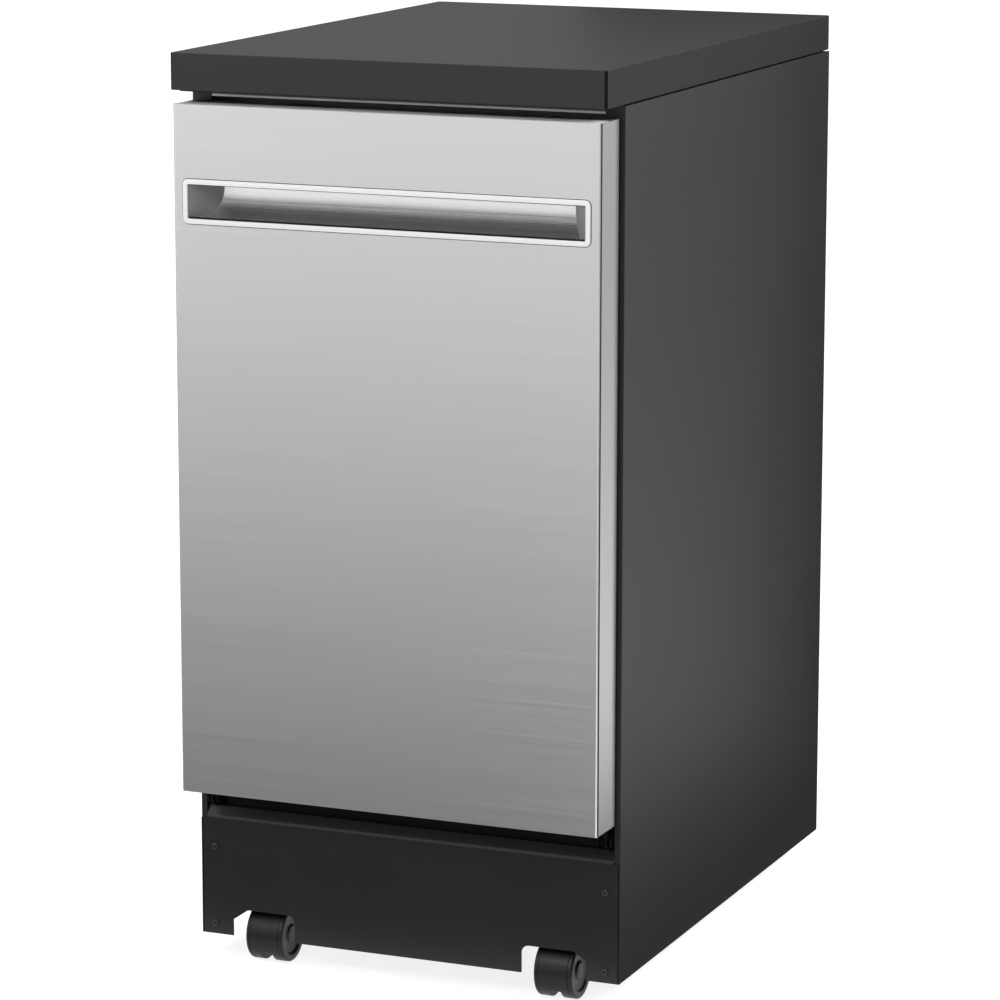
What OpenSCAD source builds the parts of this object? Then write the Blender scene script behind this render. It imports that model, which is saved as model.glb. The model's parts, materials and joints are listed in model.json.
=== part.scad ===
// Portable dishwasher, 18 inch class, on four twin-wheel casters.
// Millimetres. X to the right, Y to the back, Z up. The floor is z = 0 and the
// origin lies under the middle of the whole machine.

/* [Cabinet] */
// Overall width across the side panels
body_w = 450; // [430:5:480]
// Depth of a side panel, front edge to back edge
side_d = 600; // [560:5:640]
// Height of a side panel
side_h = 853; // [820:1:900]
// Clear height from the floor to the lower edge of the panels
base_gap = 27; // [24:1:34]
// Thickness of the folded steel sheets
sheet_t = 1.2; // [0.8:0.1:1.6]
// Width of the folded front and back edges of a side panel
flange_w = 20; // [18:1:24]

/* [Worktop] */
// Thickness of the board
top_t = 36; // [28:1:44]
// Shadow gap between the board and the side panels
top_gap = 1.5; // [1:0.5:3]
// How far the board stands in front of the side panels
top_proud = 48; // [30:1:50]
// Corner radius of the board
top_r = 3; // [1:0.5:8]

/* [Door] */
// Distance from a side panel's outer face in to the side of the door
door_side = 4.7; // [2:0.1:15]
// Distance from the top of the side panels down to the door's top edge
door_top = 11.5; // [11:0.5:33]
// Height of the door's lower edge above the floor
door_z = 187; // [185:1:192]
// Gap between the door's inner edge and the front edges of the side panels
door_gap = 4; // [3.6:0.1:6]
// How far the handle bezel stands in front of the side panels
door_proud = 52; // [50:1:60]
// Thickness of the door skin
skin_t = 1; // [0.8:0.1:1.5]
// How far the bezel stands in front of the skin
bezel_proud = 1; // [0.5:0.1:1.5]

/* [Handle] */
// Distance from the side of the door in to the grip opening
grip_side = 14.4; // [13.2:0.1:70]
// Height of the grip opening
grip_h = 33.4; // [28:0.2:45]
// Distance from the door's top edge down to the opening
grip_drop = 76.5; // [70:0.5:90]
// Width of the bezel around the opening
bezel_w = 5; // [3:0.5:8]
// Depth of the pocket at its top
grip_d = 34; // [28:1:36]
// How far each end wall leans in over the pocket's depth
grip_lean = 23; // [5:1:30]

/* [Kickplate] */
// Distance from the door's lower edge down to the kickplate's flat front
kick_drop = 36; // [34:1:50]
// Height of the lip that curls back at its top edge
kick_lip_h = 8.5; // [4:0.5:9]
// Depth of the lip
kick_lip_d = 5; // [3:0.5:6]
// Distance from a stem in to the inner edge of its cut-out
cut_in = 33.5; // [30:0.5:38]
// Distance from a stem out to the outer edge of its cut-out
cut_out = 34.5; // [30:0.5:38]
// Height of a caster cut-out
cut_h = 28; // [24:1:30]

/* [Casters] */
// Diameter of a caster wheel
wheel_d = 56; // [50:1:57]
// Width over both wheels of a caster
caster_w = 40; // [34:1:44]
// Width of the gap between the two wheels
caster_gap = 12; // [10:1:14]
// Distance from the stem back to the wheel centre
trail = 18; // [14:1:20]
// Distance from a side panel's outer face in to each stem
stem_side = 69; // [66:0.5:72]
// Distance from the panels' front edge to the front stems
stem_front = 42; // [40:1:44]
// Distance from the panels' back edge to the rear stems
stem_back = 60; // [56:1:70]
// Diameter of a stem
stem_d = 11; // [8:0.5:12]
// Diameter of a wheel axle
axle_d = 6; // [5:0.5:8]

/* [Tub] */
// Distance from a side panel's outer face in to the tub
tub_side = 23; // [22:1:27]
// How far the tub's underside lies below the door's lower edge
tub_drop = 2; // [1:0.5:4]
// Distance from the top of the side panels down to the tub
tub_top = 80; // [75:1:95]
// Distance from the back edges of the side panels to the tub
tub_behind = 41.2; // [35:0.2:60]
// Wall of the tub
tub_t = 1.2; // [1:0.1:2]
// Corner radius of the tub
tub_r = 28; // [15:1:40]

/* [Racks] */
// Diameter of the rack wires
wire_d = 3.4; // [3:0.2:4]
// Diameter of the rack rims
rim_d = 5; // [4:0.2:6]
// Space between a rack's rim and the tub's outer face
rack_side = 21; // [20:0.5:27]
// Space between a rack and the water duct behind it
rack_behind = 51.6; // [45:0.2:90]
// Height of the lower rack's bottom wires above the tub's floor
low_rack_up = 35.8; // [34:0.2:44]
// Height of the lower rack's rim above its bottom wires
low_rack_h = 120; // [90:5:130]
// Height of the upper rack's bottom wires above the tub's floor
up_rack_up = 313.8; // [305:0.2:330]
// Height of the upper rack's rim above its bottom wires
up_rack_h = 110; // [90:5:120]
// Pitch of the plate tines
tine_pitch = 28; // [22:1:36]
// Height of the plate tines
tine_h = 62; // [40:1:70]

/* [Fits] */
// Running clearance on the radius of a shaft in its hole
run_fit = 0.08; // [0.03:0.01:0.1]
// Clearance between two bodies that move past each other
air = 0.4; // [0.3:0.1:1]
// Diameter of a door hinge pin
pin_d = 8; // [6:0.5:9]
// Diameter of a panel screw's head
screw_d = 8; // [6:0.5:10]

/* [Hidden] */
$fn = 48;

// Planes of the cabinet, from the middle of the whole machine
half_w = body_w / 2;
back_y = (side_d + door_proud) / 2;
panel_y = back_y - side_d;
side_z1 = base_gap + side_h;
inner_x = half_w - sheet_t;

// Planes of the door
door_w = body_w - 2 * door_side;
door_y = panel_y - door_proud + bezel_proud;
door_back = panel_y - door_gap;
door_t = door_back - door_y;
door_z1 = side_z1 - door_top;
door_h = door_z1 - door_z;
door_hw = door_w / 2;
grip_w = door_w - 2 * grip_side;
grip_z1 = door_z1 - grip_drop;
grip_z0 = grip_z1 - grip_h;
plastic_t = 2;

// Planes of the tub
tub_w = body_w - 2 * tub_side;
tub_hw = tub_w / 2;
tub_z = door_z - tub_drop;
tub_z1 = side_z1 - tub_top;
tub_h = tub_z1 - tub_z;
tub_floor = tub_z + tub_t;
flange_y = panel_y - sheet_t;
tub_back = back_y - tub_behind;
tub_lip = 14;
pan_z = wheel_d + 6;
pan_t = 2;
base_h = 86;

// Hinge axis of the door
hinge_y = panel_y + 4;
hinge_z = door_z - 17;
cheek_t = 2;
arm_t = 3;
arm_x = tub_hw + 8;
arm_rise = 130;
eye_r = pin_d / 2 + 5;

// Racks
rack_w = tub_w - 2 * rack_side;
low_rack_z = tub_floor + low_rack_up;
up_rack_z = tub_floor + up_rack_up;

// Casters and the cut-outs in front of them
wheel_r = wheel_d / 2;
stem_x = half_w - stem_side;
front_stem_y = panel_y + stem_front;
rear_stem_y = back_y - stem_back;
boss_z0 = wheel_d + 1;
boss_z1 = pan_z - air;
socket_h = 34;
cut_x0 = stem_x - cut_in;
cut_x1 = stem_x + cut_out;
kick_h = door_z - kick_drop - base_gap;

// A block between two opposite corners
module block(a, b) {
    translate(a) cube(b - a);
}

// The same children on the left and on the right
module both_sides() {
    children();
    mirror([1, 0, 0]) children();
}

// A rod between two points, with a flat end at each
module rod(a, b, d) {
    v = b - a;
    len = norm(v);
    translate(a)
        rotate([0, acos(v[2] / len), atan2(v[1], v[0])])
            cylinder(d = d, h = len);
}

// A flat rectangle with round corners, exact arcs
module round_rect(w, h, r) {
    square([w - 2 * r, h], center = true);
    square([w, h - 2 * r], center = true);
    for (x = [-1, 1], y = [-1, 1])
        translate([x * (w / 2 - r), y * (h / 2 - r)]) circle(r = r);
}

// A profile drawn in the YZ plane, swept along X from x0 to x1
module sweep_x(x0, x1) {
    translate([x0, 0, 0])
        rotate([90, 0, 90])
            linear_extrude(x1 - x0) children();
}

// A profile drawn in the XZ plane, swept along Y from y0 to y1
module sweep_y(y0, y1) {
    translate([0, y1, 0])
        rotate([90, 0, 0])
            linear_extrude(y1 - y0) children();
}

// ---------- Cabinet ----------

back_in = 2.5;
screw_h = 2;
screw_hole_d = 4.4;
kick_screw_x = half_w - 15;
kick_screw_z = [base_gap + 11.5, base_gap + 91];
back_screw_z = [base_gap + 40, base_gap + side_h / 2, side_z1 - 40];
back_face = back_y - back_in;
back_inner = back_face - sheet_t;
hinge_cut_z0 = hinge_z - 24;
hinge_cut_z1 = hinge_z + arm_rise - 2;

module worktop() {
    front = panel_y - top_proud;
    inset = 6;
    color("#4c4c4c") {
        translate([0, (back_y + front) / 2, side_z1 + top_gap])
            linear_extrude(top_t) round_rect(body_w, back_y - front, top_r);
        // a core set in from the edges leaves the shadow line under the board
        block([inset - half_w, front + inset, side_z1],
              [half_w - inset, back_y - inset, side_z1 + top_gap]);
    }
}

// Right-hand panel: one folded sheet with flanges on all four edges
module side_panel() {
    lower = 10;
    upper = 14;
    fold_x = half_w - flange_w;
    difference() {
        union() {
            block([inner_x, panel_y, base_gap], [half_w, back_y, side_z1]);
            block([fold_x, panel_y, base_gap], [half_w, panel_y + sheet_t, side_z1]);
            block([fold_x, back_inner - sheet_t, base_gap], [half_w, back_inner, side_z1]);
            block([half_w - lower, panel_y, base_gap], [half_w, back_inner, base_gap + sheet_t]);
            block([half_w - upper, panel_y, side_z1 - sheet_t], [half_w, back_inner, side_z1]);
        }
        // window in the front flange for the door hinge
        block([fold_x - 1, panel_y - 1, hinge_cut_z0], [half_w - 6, panel_y + 2, hinge_cut_z1]);
        for (z = kick_screw_z)
            translate([kick_screw_x, panel_y - 1, z]) rotate([-90, 0, 0]) cylinder(d = screw_hole_d, h = 4);
        for (z = back_screw_z)
            translate([kick_screw_x, back_inner - 3, z]) rotate([-90, 0, 0])
                cylinder(d = screw_hole_d, h = 4);
    }
}

module side_panel_right() { color("#3d3d3f") side_panel(); }
module side_panel_left() { color("#3d3d3f") mirror([1, 0, 0]) side_panel(); }

// Hose bay, a moulded tray set into the back panel over the base frame
bay_w = 220;
bay_d = 88;
bay_wall = 2;
bay_under_tub = 11;
bay_z0 = pan_z + pan_t + bay_wall;
bay_h = tub_z - bay_under_tub - bay_z0;
bay_y0 = back_face - bay_d;
fitting_z = bay_z0 + bay_h / 2;
inlet_x = -70;
drain_x = -10;
cord_x = 66;

module back_panel() {
    slot_w = 46;
    slot_h = 5;
    rows = 5;
    color("#2e2e30")
        difference() {
            block([-inner_x, back_inner, base_gap], [inner_x, back_face, side_z1 - sheet_t]);
            block([-bay_w / 2, back_inner - 1, bay_z0], [bay_w / 2, back_face + 1, bay_z0 + bay_h]);
            for (x = [-1, 1], z = back_screw_z)
                translate([x * kick_screw_x, back_inner - 1, z]) rotate([-90, 0, 0])
                    cylinder(d = screw_hole_d, h = 4);
            // vent slots with round ends in two groups
            for (x = [-1, 1], row = [0 : rows - 1])
                translate([x * 70, 0, side_z1 - 110 - row * 14])
                    sweep_y(back_inner - 1, back_face + 1) round_rect(slot_w, slot_h, slot_h / 2 - 0.1);
        }
}

module hose_bay() {
    hole = 26;
    color("#242424")
        difference() {
            block([-bay_w / 2 - bay_wall, bay_y0 - bay_wall, bay_z0 - bay_wall],
                  [bay_w / 2 + bay_wall, back_inner, bay_z0 + bay_h + bay_wall]);
            block([-bay_w / 2, bay_y0, bay_z0], [bay_w / 2, back_face, bay_z0 + bay_h]);
            for (x = [inlet_x, drain_x])
                translate([x, bay_y0 - bay_wall - 1, fitting_z]) rotate([-90, 0, 0])
                    cylinder(d = hole, h = bay_wall + 2);
            translate([cord_x, bay_y0 - bay_wall - 1, fitting_z]) rotate([-90, 0, 0])
                cylinder(d = 16, h = bay_wall + 2);
        }
}

// Threaded inlet stub and ribbed drain stub, each with a flange against the bay wall
module hose_spigots() {
    color("#b08d4a") {
        translate([inlet_x, bay_y0, fitting_z]) rotate([-90, 0, 0])
            difference() {
                rotate_extrude()
                    polygon(concat(
                        [[0, -14], [12.7, -14], [12.7, 0], [17, 0], [17, 4], [12, 4]],
                        [for (i = [0 : 6]) [i % 2 == 0 ? 13.2 : 12.2, 5 + i * 1.8]],
                        [[12.2, 20], [0, 20]]));
                translate([0, 0, -15]) cylinder(d = 15, h = 40);
            }
        translate([drain_x, bay_y0, fitting_z]) rotate([-90, 0, 0])
            difference() {
                rotate_extrude()
                    polygon([[0, -14], [12.7, -14], [12.7, 0], [17, 0], [17, 4], [9, 4], [9, 8],
                             [10.5, 8], [9, 14], [10.5, 14], [9, 20], [10.5, 20], [9, 26], [0, 26]]);
                translate([0, 0, -15]) cylinder(d = 12, h = 45);
            }
    }
}

module cord_gland() {
    color("#1c1c1c")
        translate([cord_x, bay_y0, fitting_z]) rotate([-90, 0, 0])
            difference() {
                rotate_extrude()
                    polygon([[0, -5], [11, -5], [11, -2], [7.8, -2], [7.8, 0], [11, 0], [11, 3],
                             [8, 5], [6.2, 18], [0, 18]]);
                translate([0, 0, -6]) cylinder(d = 8, h = 30);
            }
}

// Pressed base: tray, side webs, cross webs, sockets for the caster stems
module base_frame() {
    web_t = 2;
    tray_y1 = back_inner - sheet_t;
    y0 = panel_y + sheet_t;
    top = pan_z + pan_t;
    web_z1 = top + base_h;
    recess_y = panel_y + 8;
    front_top = tub_z - 10;
    rail_x = 150;
    rail_y1 = bay_y0 - 12;
    color("#1e1e20")
        difference() {
            union() {
                block([-inner_x, y0, pan_z], [inner_x, tray_y1, top]);
                both_sides() {
                    block([inner_x - web_t, y0, pan_z], [inner_x, tray_y1, web_z1]);
                    block([inner_x - 7, y0 + 34, web_z1 - web_t], [inner_x, tray_y1, web_z1]);
                    for (y = [front_stem_y, rear_stem_y])
                        translate([stem_x, y, top - 1]) cylinder(d = stem_d + 8, h = socket_h + 1);
                    // tab that holds the back end of the door spring
                    block([arm_x - 3, spring_y1, top - 1],
                          [arm_x + arm_t + 3, spring_y1 + web_t, spring_z1 + 8]);
                    // rail that carries the tub
                    block([rail_x, recess_y, front_top - web_t], [tub_hw - 12, rail_y1, front_top]);
                    block([rail_x, recess_y, top - 1], [rail_x + web_t, rail_y1, front_top]);
                    block([rail_x, rib_y[0] + 20, front_top - 1], [rail_x + web_t, rib_y[1] - 8, tub_z]);
                }
                block([-tub_hw + 2, recess_y, top - 1], [tub_hw - 2, recess_y + web_t, front_top]);
                block([-inner_x, rail_y1, top - 1], [inner_x, rail_y1 + web_t, top + 24]);
            }
            both_sides()
                for (y = [front_stem_y, rear_stem_y])
                    translate([stem_x, y, pan_z - 1])
                        cylinder(d = stem_d + 2 * run_fit, h = socket_h + pan_t + 2);
            // service opening behind the pumps
            translate([0, 160, pan_z - 1]) linear_extrude(pan_t + 2) round_rect(88, 66, 12);
        }
}

module caster_cutout() {
    slope = [13.5, 8.7];
    corner = 8;
    polygon([[cut_x0, -1], [cut_x1, -1], [cut_x1, cut_h - slope[1]], [cut_x1 - slope[0], cut_h],
             [cut_x0 + corner, cut_h], [cut_x0, cut_h - corner]]);
    translate([cut_x0 + corner, cut_h - corner]) circle(r = corner);
}

module kickplate() {
    z1 = base_gap + kick_h;
    lip_x = half_w - 6 - air;
    // the lip is an arc from the flat front to its own depth and height
    lean = 2 * atan(kick_lip_d / kick_lip_h);
    curl_r = kick_lip_h / sin(lean);
    mid_y = flange_y + curl_r;
    steps = 8;
    color("#2a2a2a")
        difference() {
            union() {
                sweep_y(flange_y, panel_y)
                    translate([0, base_gap])
                        difference() {
                            translate([-half_w, 0]) square([body_w, kick_h]);
                            caster_cutout();
                            mirror([1, 0]) caster_cutout();
                        }
                sweep_x(-lip_x, lip_x)
                    polygon(concat(
                        [[panel_y, z1 - 1], [flange_y, z1 - 1]],
                        [for (i = [0 : steps])
                            [mid_y - curl_r * cos(lean * i / steps), z1 + curl_r * sin(lean * i / steps)]],
                        [for (i = [steps : -1 : 0])
                            [mid_y - (curl_r - sheet_t) * cos(lean * i / steps),
                             z1 + (curl_r - sheet_t) * sin(lean * i / steps)]]));
            }
            for (x = [-1, 1], z = kick_screw_z)
                translate([x * kick_screw_x, flange_y - 1, z]) rotate([-90, 0, 0])
                    cylinder(d = screw_hole_d, h = 4);
        }
}

// One panel screw: a domed head with a square drive, its shank along +Y
module panel_screw() {
    difference() {
        rotate([-90, 0, 0])
            rotate_extrude()
                polygon([[0, -screw_h], [screw_d * 0.25, -screw_h], [screw_d * 0.42, -screw_h * 0.7],
                         [screw_d / 2, 0], [2, 0], [2, 6], [1, 8], [0, 8]]);
        block([-1, -screw_h - 1, -1], [1, -screw_h / 2, 1]);
    }
}

module cabinet_screws() {
    color("#3a3a3a") {
        for (x = [-1, 1], z = kick_screw_z)
            translate([x * kick_screw_x, flange_y, z]) panel_screw();
        for (x = [-1, 1], z = back_screw_z)
            translate([x * kick_screw_x, back_face, z]) mirror([0, 1, 0]) panel_screw();
    }
}

// Cross member over the door with a pale front lip and the tongue of the latch
lock_z = door_z1 - 12;
tongue_y = door_back - 14;
module top_crossbar() {
    lip = 7.7;
    depth = 34;
    front = panel_y + sheet_t;
    top = side_z1 - sheet_t;
    back = panel_y + depth;
    color("#bdbdbd") {
        block([-inner_x, front, top - sheet_t], [inner_x, back, top]);
        block([-inner_x, front, side_z1 - lip], [inner_x, front + sheet_t, top]);
        block([-inner_x, back - sheet_t, tub_z1 + 20], [inner_x, back, top]);
        // tongue that the door latch closes on
        block([-9, tongue_y, lock_z], [9, back, lock_z + 2]);
    }
}

// Two-cheek brackets that stand on the tray and carry the hinge pins
module hinge_brackets() {
    gap = 2;
    x_in = arm_x - gap - cheek_t;
    x_out = arm_x + arm_t + gap;
    foot = pan_z + pan_t;
    back = hinge_y + 25;
    top = hinge_cut_z1 - 8;
    color("#8f9295")
        both_sides() {
            for (x = [x_in, x_out])
                sweep_x(x, x + cheek_t) {
                    translate([hinge_y, hinge_z]) circle(r = eye_r - 1);
                    polygon([[hinge_y + 4, foot], [back, foot], [back, top], [hinge_y - 2, top],
                             [hinge_y - 2, hinge_z + 4], [hinge_y + 4, hinge_z - 6]]);
                }
            block([x_in, back - cheek_t, hinge_z + 26], [x_out + cheek_t, back, top]);
            translate([x_in, hinge_y, hinge_z]) rotate([0, 90, 0])
                cylinder(d = pin_d, h = x_out + cheek_t - x_in);
        }
}

// Close-wound tension springs from the hinge arms back to the base frame
spring_d = 9;
spring_wire = 1.8;
spring_turns = 42;
spring_y1 = panel_y + 150;
spring_z1 = pan_z + 30;
spring_y0 = hinge_y + 24;
spring_z0 = hinge_z - 11;
module door_springs() {
    run = [0, spring_y1 - spring_wire / 2 - spring_y0, spring_z1 - spring_z0];
    len = norm(run);
    hook = 12;
    pitch = (len - 2 * hook) / spring_turns;
    color("#7d8084")
        both_sides()
            translate([arm_x + arm_t / 2, spring_y0, spring_z0])
                rotate([-acos(run[2] / len), 0, 0]) {
                    // the coil's outline, one scallop to a turn
                    rotate_extrude($fn = 24)
                        polygon(concat([[0, hook]],
                            [for (i = [0 : spring_turns - 1], s = [0, 0.5])
                                [spring_d / 2 - (s == 0 ? 0.5 : 0), hook + (i + s) * pitch]],
                            [[spring_d / 2 - 0.5, len - hook], [0, len - hook]]));
                    cylinder(d = spring_wire, h = hook + 1);
                    translate([0, 0, len - hook - 1]) cylinder(d = spring_wire, h = hook + 1);
                }
}

// ---------- Tub and water path ----------

sump_y = 20;
rib_y = [sump_y - 140, sump_y + 150];
sump_hole_r = 74;
deck_z = tub_floor + 1;
deck_t = 2;
post_r = 11;
low_arm_z = deck_z + 16;
arm_h = 12;
low_arm_r = 150;
up_arm_r = 165;
cup_r = 22;
cup_y = sump_y - 36;
tower_w = 40;
tower_t = 13;
tower_y0 = tub_back - tub_t - tower_t;
roof_z = tub_z1 - tub_t;

// The cross-section of the tub, grown outwards by `grow`
module tub_section(grow = 0) {
    translate([0, tub_z + tub_h / 2])
        round_rect(tub_w + 2 * grow, tub_h + 2 * grow, tub_r + grow);
}

module tub() {
    lower_lip = 3;
    color("#b4b7ba")
        difference() {
            union() {
                sweep_y(flange_y, tub_back) tub_section();
                // front flange; it is narrow under the door opening
                sweep_y(flange_y, panel_y)
                    translate([-tub_hw - tub_lip, tub_z - lower_lip])
                        square([tub_w + 2 * tub_lip, tub_h + lower_lip + tub_lip]);
                // two pressed ribs around the tub
                for (y = rib_y)
                    sweep_y(y, y + 12) tub_section(1);
            }
            sweep_y(flange_y - 1, tub_back - tub_t) tub_section(-tub_t);
            translate([0, sump_y, tub_z - 2]) cylinder(r = sump_hole_r, h = tub_t + 4);
        }
    // stem of the float
    color("#b4b7ba")
        translate([float_x, float_y, tub_floor - tub_t / 2]) cylinder(r = float_stem_r, h = 11);
}

module tub_gasket() {
    seal_t = flange_y - liner_y1 - air;
    inner = tub_hw + 1;
    outer = tub_hw + 11;
    z0 = tub_z + 16;
    color("#3c3e40")
        sweep_y(flange_y - seal_t, flange_y)
            difference() {
                translate([-outer, z0]) square([2 * outer, tub_z1 + 11 - z0]);
                translate([-inner, z0 - 1]) square([2 * inner, tub_z1 + 2 - z0]);
            }
}

// Moulded well under the tub, with the post that carries the lower spray arm
module sump() {
    rim = sump_hole_r + 9;
    well = 62;
    depth = 84;
    wall = 3;
    z0 = tub_z - depth;
    color("#8e9194") {
        difference() {
            translate([0, sump_y, 0])
                rotate_extrude()
                    polygon([[0, z0], [30, z0], [34, z0 + 4], [well, z0 + 30], [well, tub_z - 8],
                             [rim, tub_z - 3], [rim, tub_z], [sump_hole_r - air, tub_z],
                             [sump_hole_r - air, deck_z], [0, deck_z]]);
            translate([0, sump_y, 0])
                rotate_extrude()
                    polygon([[post_r, z0 + wall], [30 - wall, z0 + wall], [well - wall, z0 + 33],
                             [well - wall, tub_z - 8], [sump_hole_r - wall, tub_z - 2],
                             [sump_hole_r - wall, deck_z + 1], [post_r, deck_z + 1]]);
        }
        // hollow post, its top bears the arm
        translate([0, sump_y, deck_z - 1])
            difference() {
                cylinder(r = post_r, h = low_arm_z + arm_h + 2 - deck_z);
                translate([0, 0, -1]) cylinder(r = post_r - 4, h = 40);
            }
        // shoulder under the arm and cap over it
        for (z = [low_arm_z - air - 3, low_arm_z + arm_h + air])
            translate([0, sump_y, z])
                difference() {
                    cylinder(r = post_r + 4, h = 3);
                    translate([0, 0, -1]) cylinder(r = post_r - 4, h = 5);
                }
    }
}

// Perforated stainless deck round the post and the filter cup
module filter_plate() {
    deck_r = sump_hole_r + 12;
    color("#9fa2a5")
        difference() {
            translate([0, sump_y, deck_z]) cylinder(r = deck_r, h = deck_t);
            translate([0, sump_y, deck_z - 1]) cylinder(r = post_r + air, h = deck_t + 2);
            translate([0, cup_y, deck_z - 1]) cylinder(r = cup_r + air, h = deck_t + 2);
            for (ring = [0 : 1], i = [0 : 17])
                if (abs(i * 20 - 270) > 45 || ring == 1)
                    translate([0, sump_y, deck_z - 1])
                        rotate(i * 20) translate([34 + ring * 36, 0]) cylinder(d = 5, h = deck_t + 2);
        }
}

// Twist-out filter: a slotted cup with a winged grip
module filter_cup() {
    depth = 50;
    slots = 12;
    rim_z = deck_z + deck_t + 1;
    color("#c7c9cb")
        translate([0, cup_y, 0]) {
            difference() {
                rotate_extrude()
                    polygon([[0, deck_z - depth], [cup_r - 5, deck_z - depth], [cup_r - 3, deck_z - 2],
                             [cup_r, deck_z - 2], [cup_r, rim_z], [cup_r - 3, rim_z],
                             [cup_r - 5, deck_z - 4], [cup_r - 7, deck_z - depth + 2],
                             [0, deck_z - depth + 2]]);
                for (i = [0 : slots - 1])
                    rotate(i * 360 / slots)
                        block([10, -2, deck_z - depth + 8], [cup_r - 1, 2, deck_z - 10]);
            }
            // winged grip
            block([-cup_r + 4, -1.5, deck_z - 6], [cup_r - 4, 1.5, deck_z + deck_t + 3]);
        }
}

heater_d = 8;
heater_z = tub_floor + heater_d / 2 + 3;
module heating_element() {
    ring_r = 120;
    rod_d = heater_d;
    z = heater_z;
    color("#5a5c5e") {
        translate([0, sump_y, z])
            rotate_extrude($fn = 96) translate([ring_r, 0]) circle(d = rod_d, $fn = 24);
        // two cold ends down through the floor of the tub, and three feet
        for (x = [-12, 12])
            translate([x, sump_y + ring_r, tub_floor]) cylinder(d = rod_d - 1, h = z - tub_floor);
        for (a = [210, 330])
            translate([0, sump_y, 0]) rotate(a)
                translate([ring_r, 0, tub_floor]) cylinder(d = 6, h = z - tub_floor);
    }
}

module circulation_pump() {
    motor_r = 38;
    motor_x0 = -118;
    axis_z = pan_z + pan_t + motor_r + 8;
    y = sump_y - 86;
    color("#5b5e62") {
        difference() {
            union() {
                translate([motor_x0, y - 30, axis_z]) rotate([0, 90, 0])
                    rotate_extrude()
                        polygon([[0, 0], [18, 0], [22, 6], [motor_r - 4, 6], [motor_r, 10],
                                 [motor_r, 74], [motor_r + 6, 76], [motor_r + 6, 104],
                                 [30, 112], [0, 112]]);
                for (x = [motor_x0 + 18, motor_x0 + 58])
                    block([x, y - 58, pan_z + pan_t], [x + 6, y - 2, axis_z - 20]);
                // inlet from the sump
                rod([-20, y - 30, axis_z], [-20, sump_y - 60, axis_z + 20], 26);
            }
            translate([-20, y - 30, axis_z]) rotate([0, 90, 0]) cylinder(r = 12, h = 30);
        }
    }
}

module drain_pump() {
    axis_z = pan_z + pan_t + 30;
    x0 = 70;
    y = sump_y - 10;
    color("#46494d") {
        translate([x0, y, axis_z]) rotate([0, 90, 0])
            rotate_extrude()
                polygon([[0, 0], [24, 0], [26, 3], [26, 26], [21, 28], [21, 58], [6, 60], [0, 60]]);
        block([x0 + 6, y - 20, pan_z + pan_t], [x0 + 20, y + 20, axis_z - 12]);
        rod([54, y + 10, axis_z + 18], [x0 + 8, y + 10, axis_z + 18], 16);
    }
}

module inlet_valve() {
    x = inlet_x - 30;
    y = bay_y0 - bay_wall - 44;
    z0 = pan_z + pan_t;
    color("#2f5f8f") {
        block([x - 16, y, z0], [x + 16, y + 28, z0 + 34]);
        translate([x, y + 14, z0 + 30]) cylinder(d = 26, h = 42);
        rod([x + 10, y + 14, z0 + 22], [inlet_x + 16, y + 14, z0 + 22], 14);
    }
}

// Duct up the back of the tub and along its roof
module feed_tube() {
    foot_z = heater_z + heater_d / 2 + air;
    foot_y = sump_y + sump_hole_r + 20;
    foot_top = low_arm_z - air;
    roof_d = 12;
    port_z = up_pipe_z;
    color("#d4d6d8")
        difference() {
            union() {
                block([-tower_w / 2, tower_y0, foot_z], [tower_w / 2, tub_back - tub_t, roof_z]);
                block([-18, sump_y - 20, roof_z - roof_d], [18, tower_y0 + 1, roof_z]);
                // seat for the pipe of the upper rack
                translate([0, tower_y0 + 1, port_z]) rotate([90, 0, 0]) cylinder(d1 = 30, d2 = 24, h = 5);
                // foot that runs forward to the sump
                block([-tower_w / 2, foot_y, foot_z], [tower_w / 2, tower_y0 + 1, foot_top]);
                block([-tower_w / 2, foot_y, tub_floor], [tower_w / 2, foot_y + 8, foot_top]);
            }
            translate([0, tower_y0 - 5, port_z]) rotate([-90, 0, 0]) cylinder(d = 14, h = 12);
        }
}

module top_spray_head() {
    head_r = 30;
    z1 = roof_z - 12;
    color("#c9cbcd")
        translate([0, sump_y, 0])
            difference() {
                translate([0, 0, z1 - 12])
                    rotate_extrude()
                        polygon([[0, 0], [head_r - 8, 0], [head_r, 6], [head_r, 9], [12, 12], [0, 12]]);
                for (i = [0 : 7])
                    rotate(i * 45) translate([18, 0, z1 - 13]) cylinder(d = 3, h = 8);
            }
}

// Overfill float: a dome that rides on a stem in the tub floor
float_x = -120;
float_y = -170;
float_stem_r = 3;
module float_dome() {
    color("#e3e4e5")
        translate([float_x, float_y, 0])
            difference() {
                translate([0, 0, tub_floor + air])
                    rotate_extrude()
                        polygon(concat([[0, 0], [16, 0]],
                            [for (a = [0 : 15 : 90]) [4 + 12 * cos(a), 10 + 8 * sin(a)]], [[0, 18]]));
                translate([0, 0, tub_floor]) cylinder(r = float_stem_r + run_fit, h = 12);
            }
}

// Fixed halves of the upper rack's slides, on the side walls of the tub
slide_z = up_rack_z + 60;
slide_y0 = flange_y + 20;
slide_len = tub_back - 60 - slide_y0;
slide_h = 26;
slide_w = 11;
module rack_guides() {
    x1 = tub_hw - tub_t;
    x0 = x1 - slide_w;
    y1 = slide_y0 + slide_len;
    half = slide_h / 2;
    color("#a9acaf")
        both_sides()
            difference() {
                block([x0, slide_y0, slide_z - half], [x1, y1, slide_z + half]);
                block([x0 + 3, slide_y0 - 1, slide_z - half + 3], [x1 - 2, y1 - 4, slide_z + half - 3]);
                block([x0 - 1, slide_y0 - 1, slide_z - half + 7], [x0 + 4, y1 - 4, slide_z + half - 7]);
            }
}

// ---------- Door ----------

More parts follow.
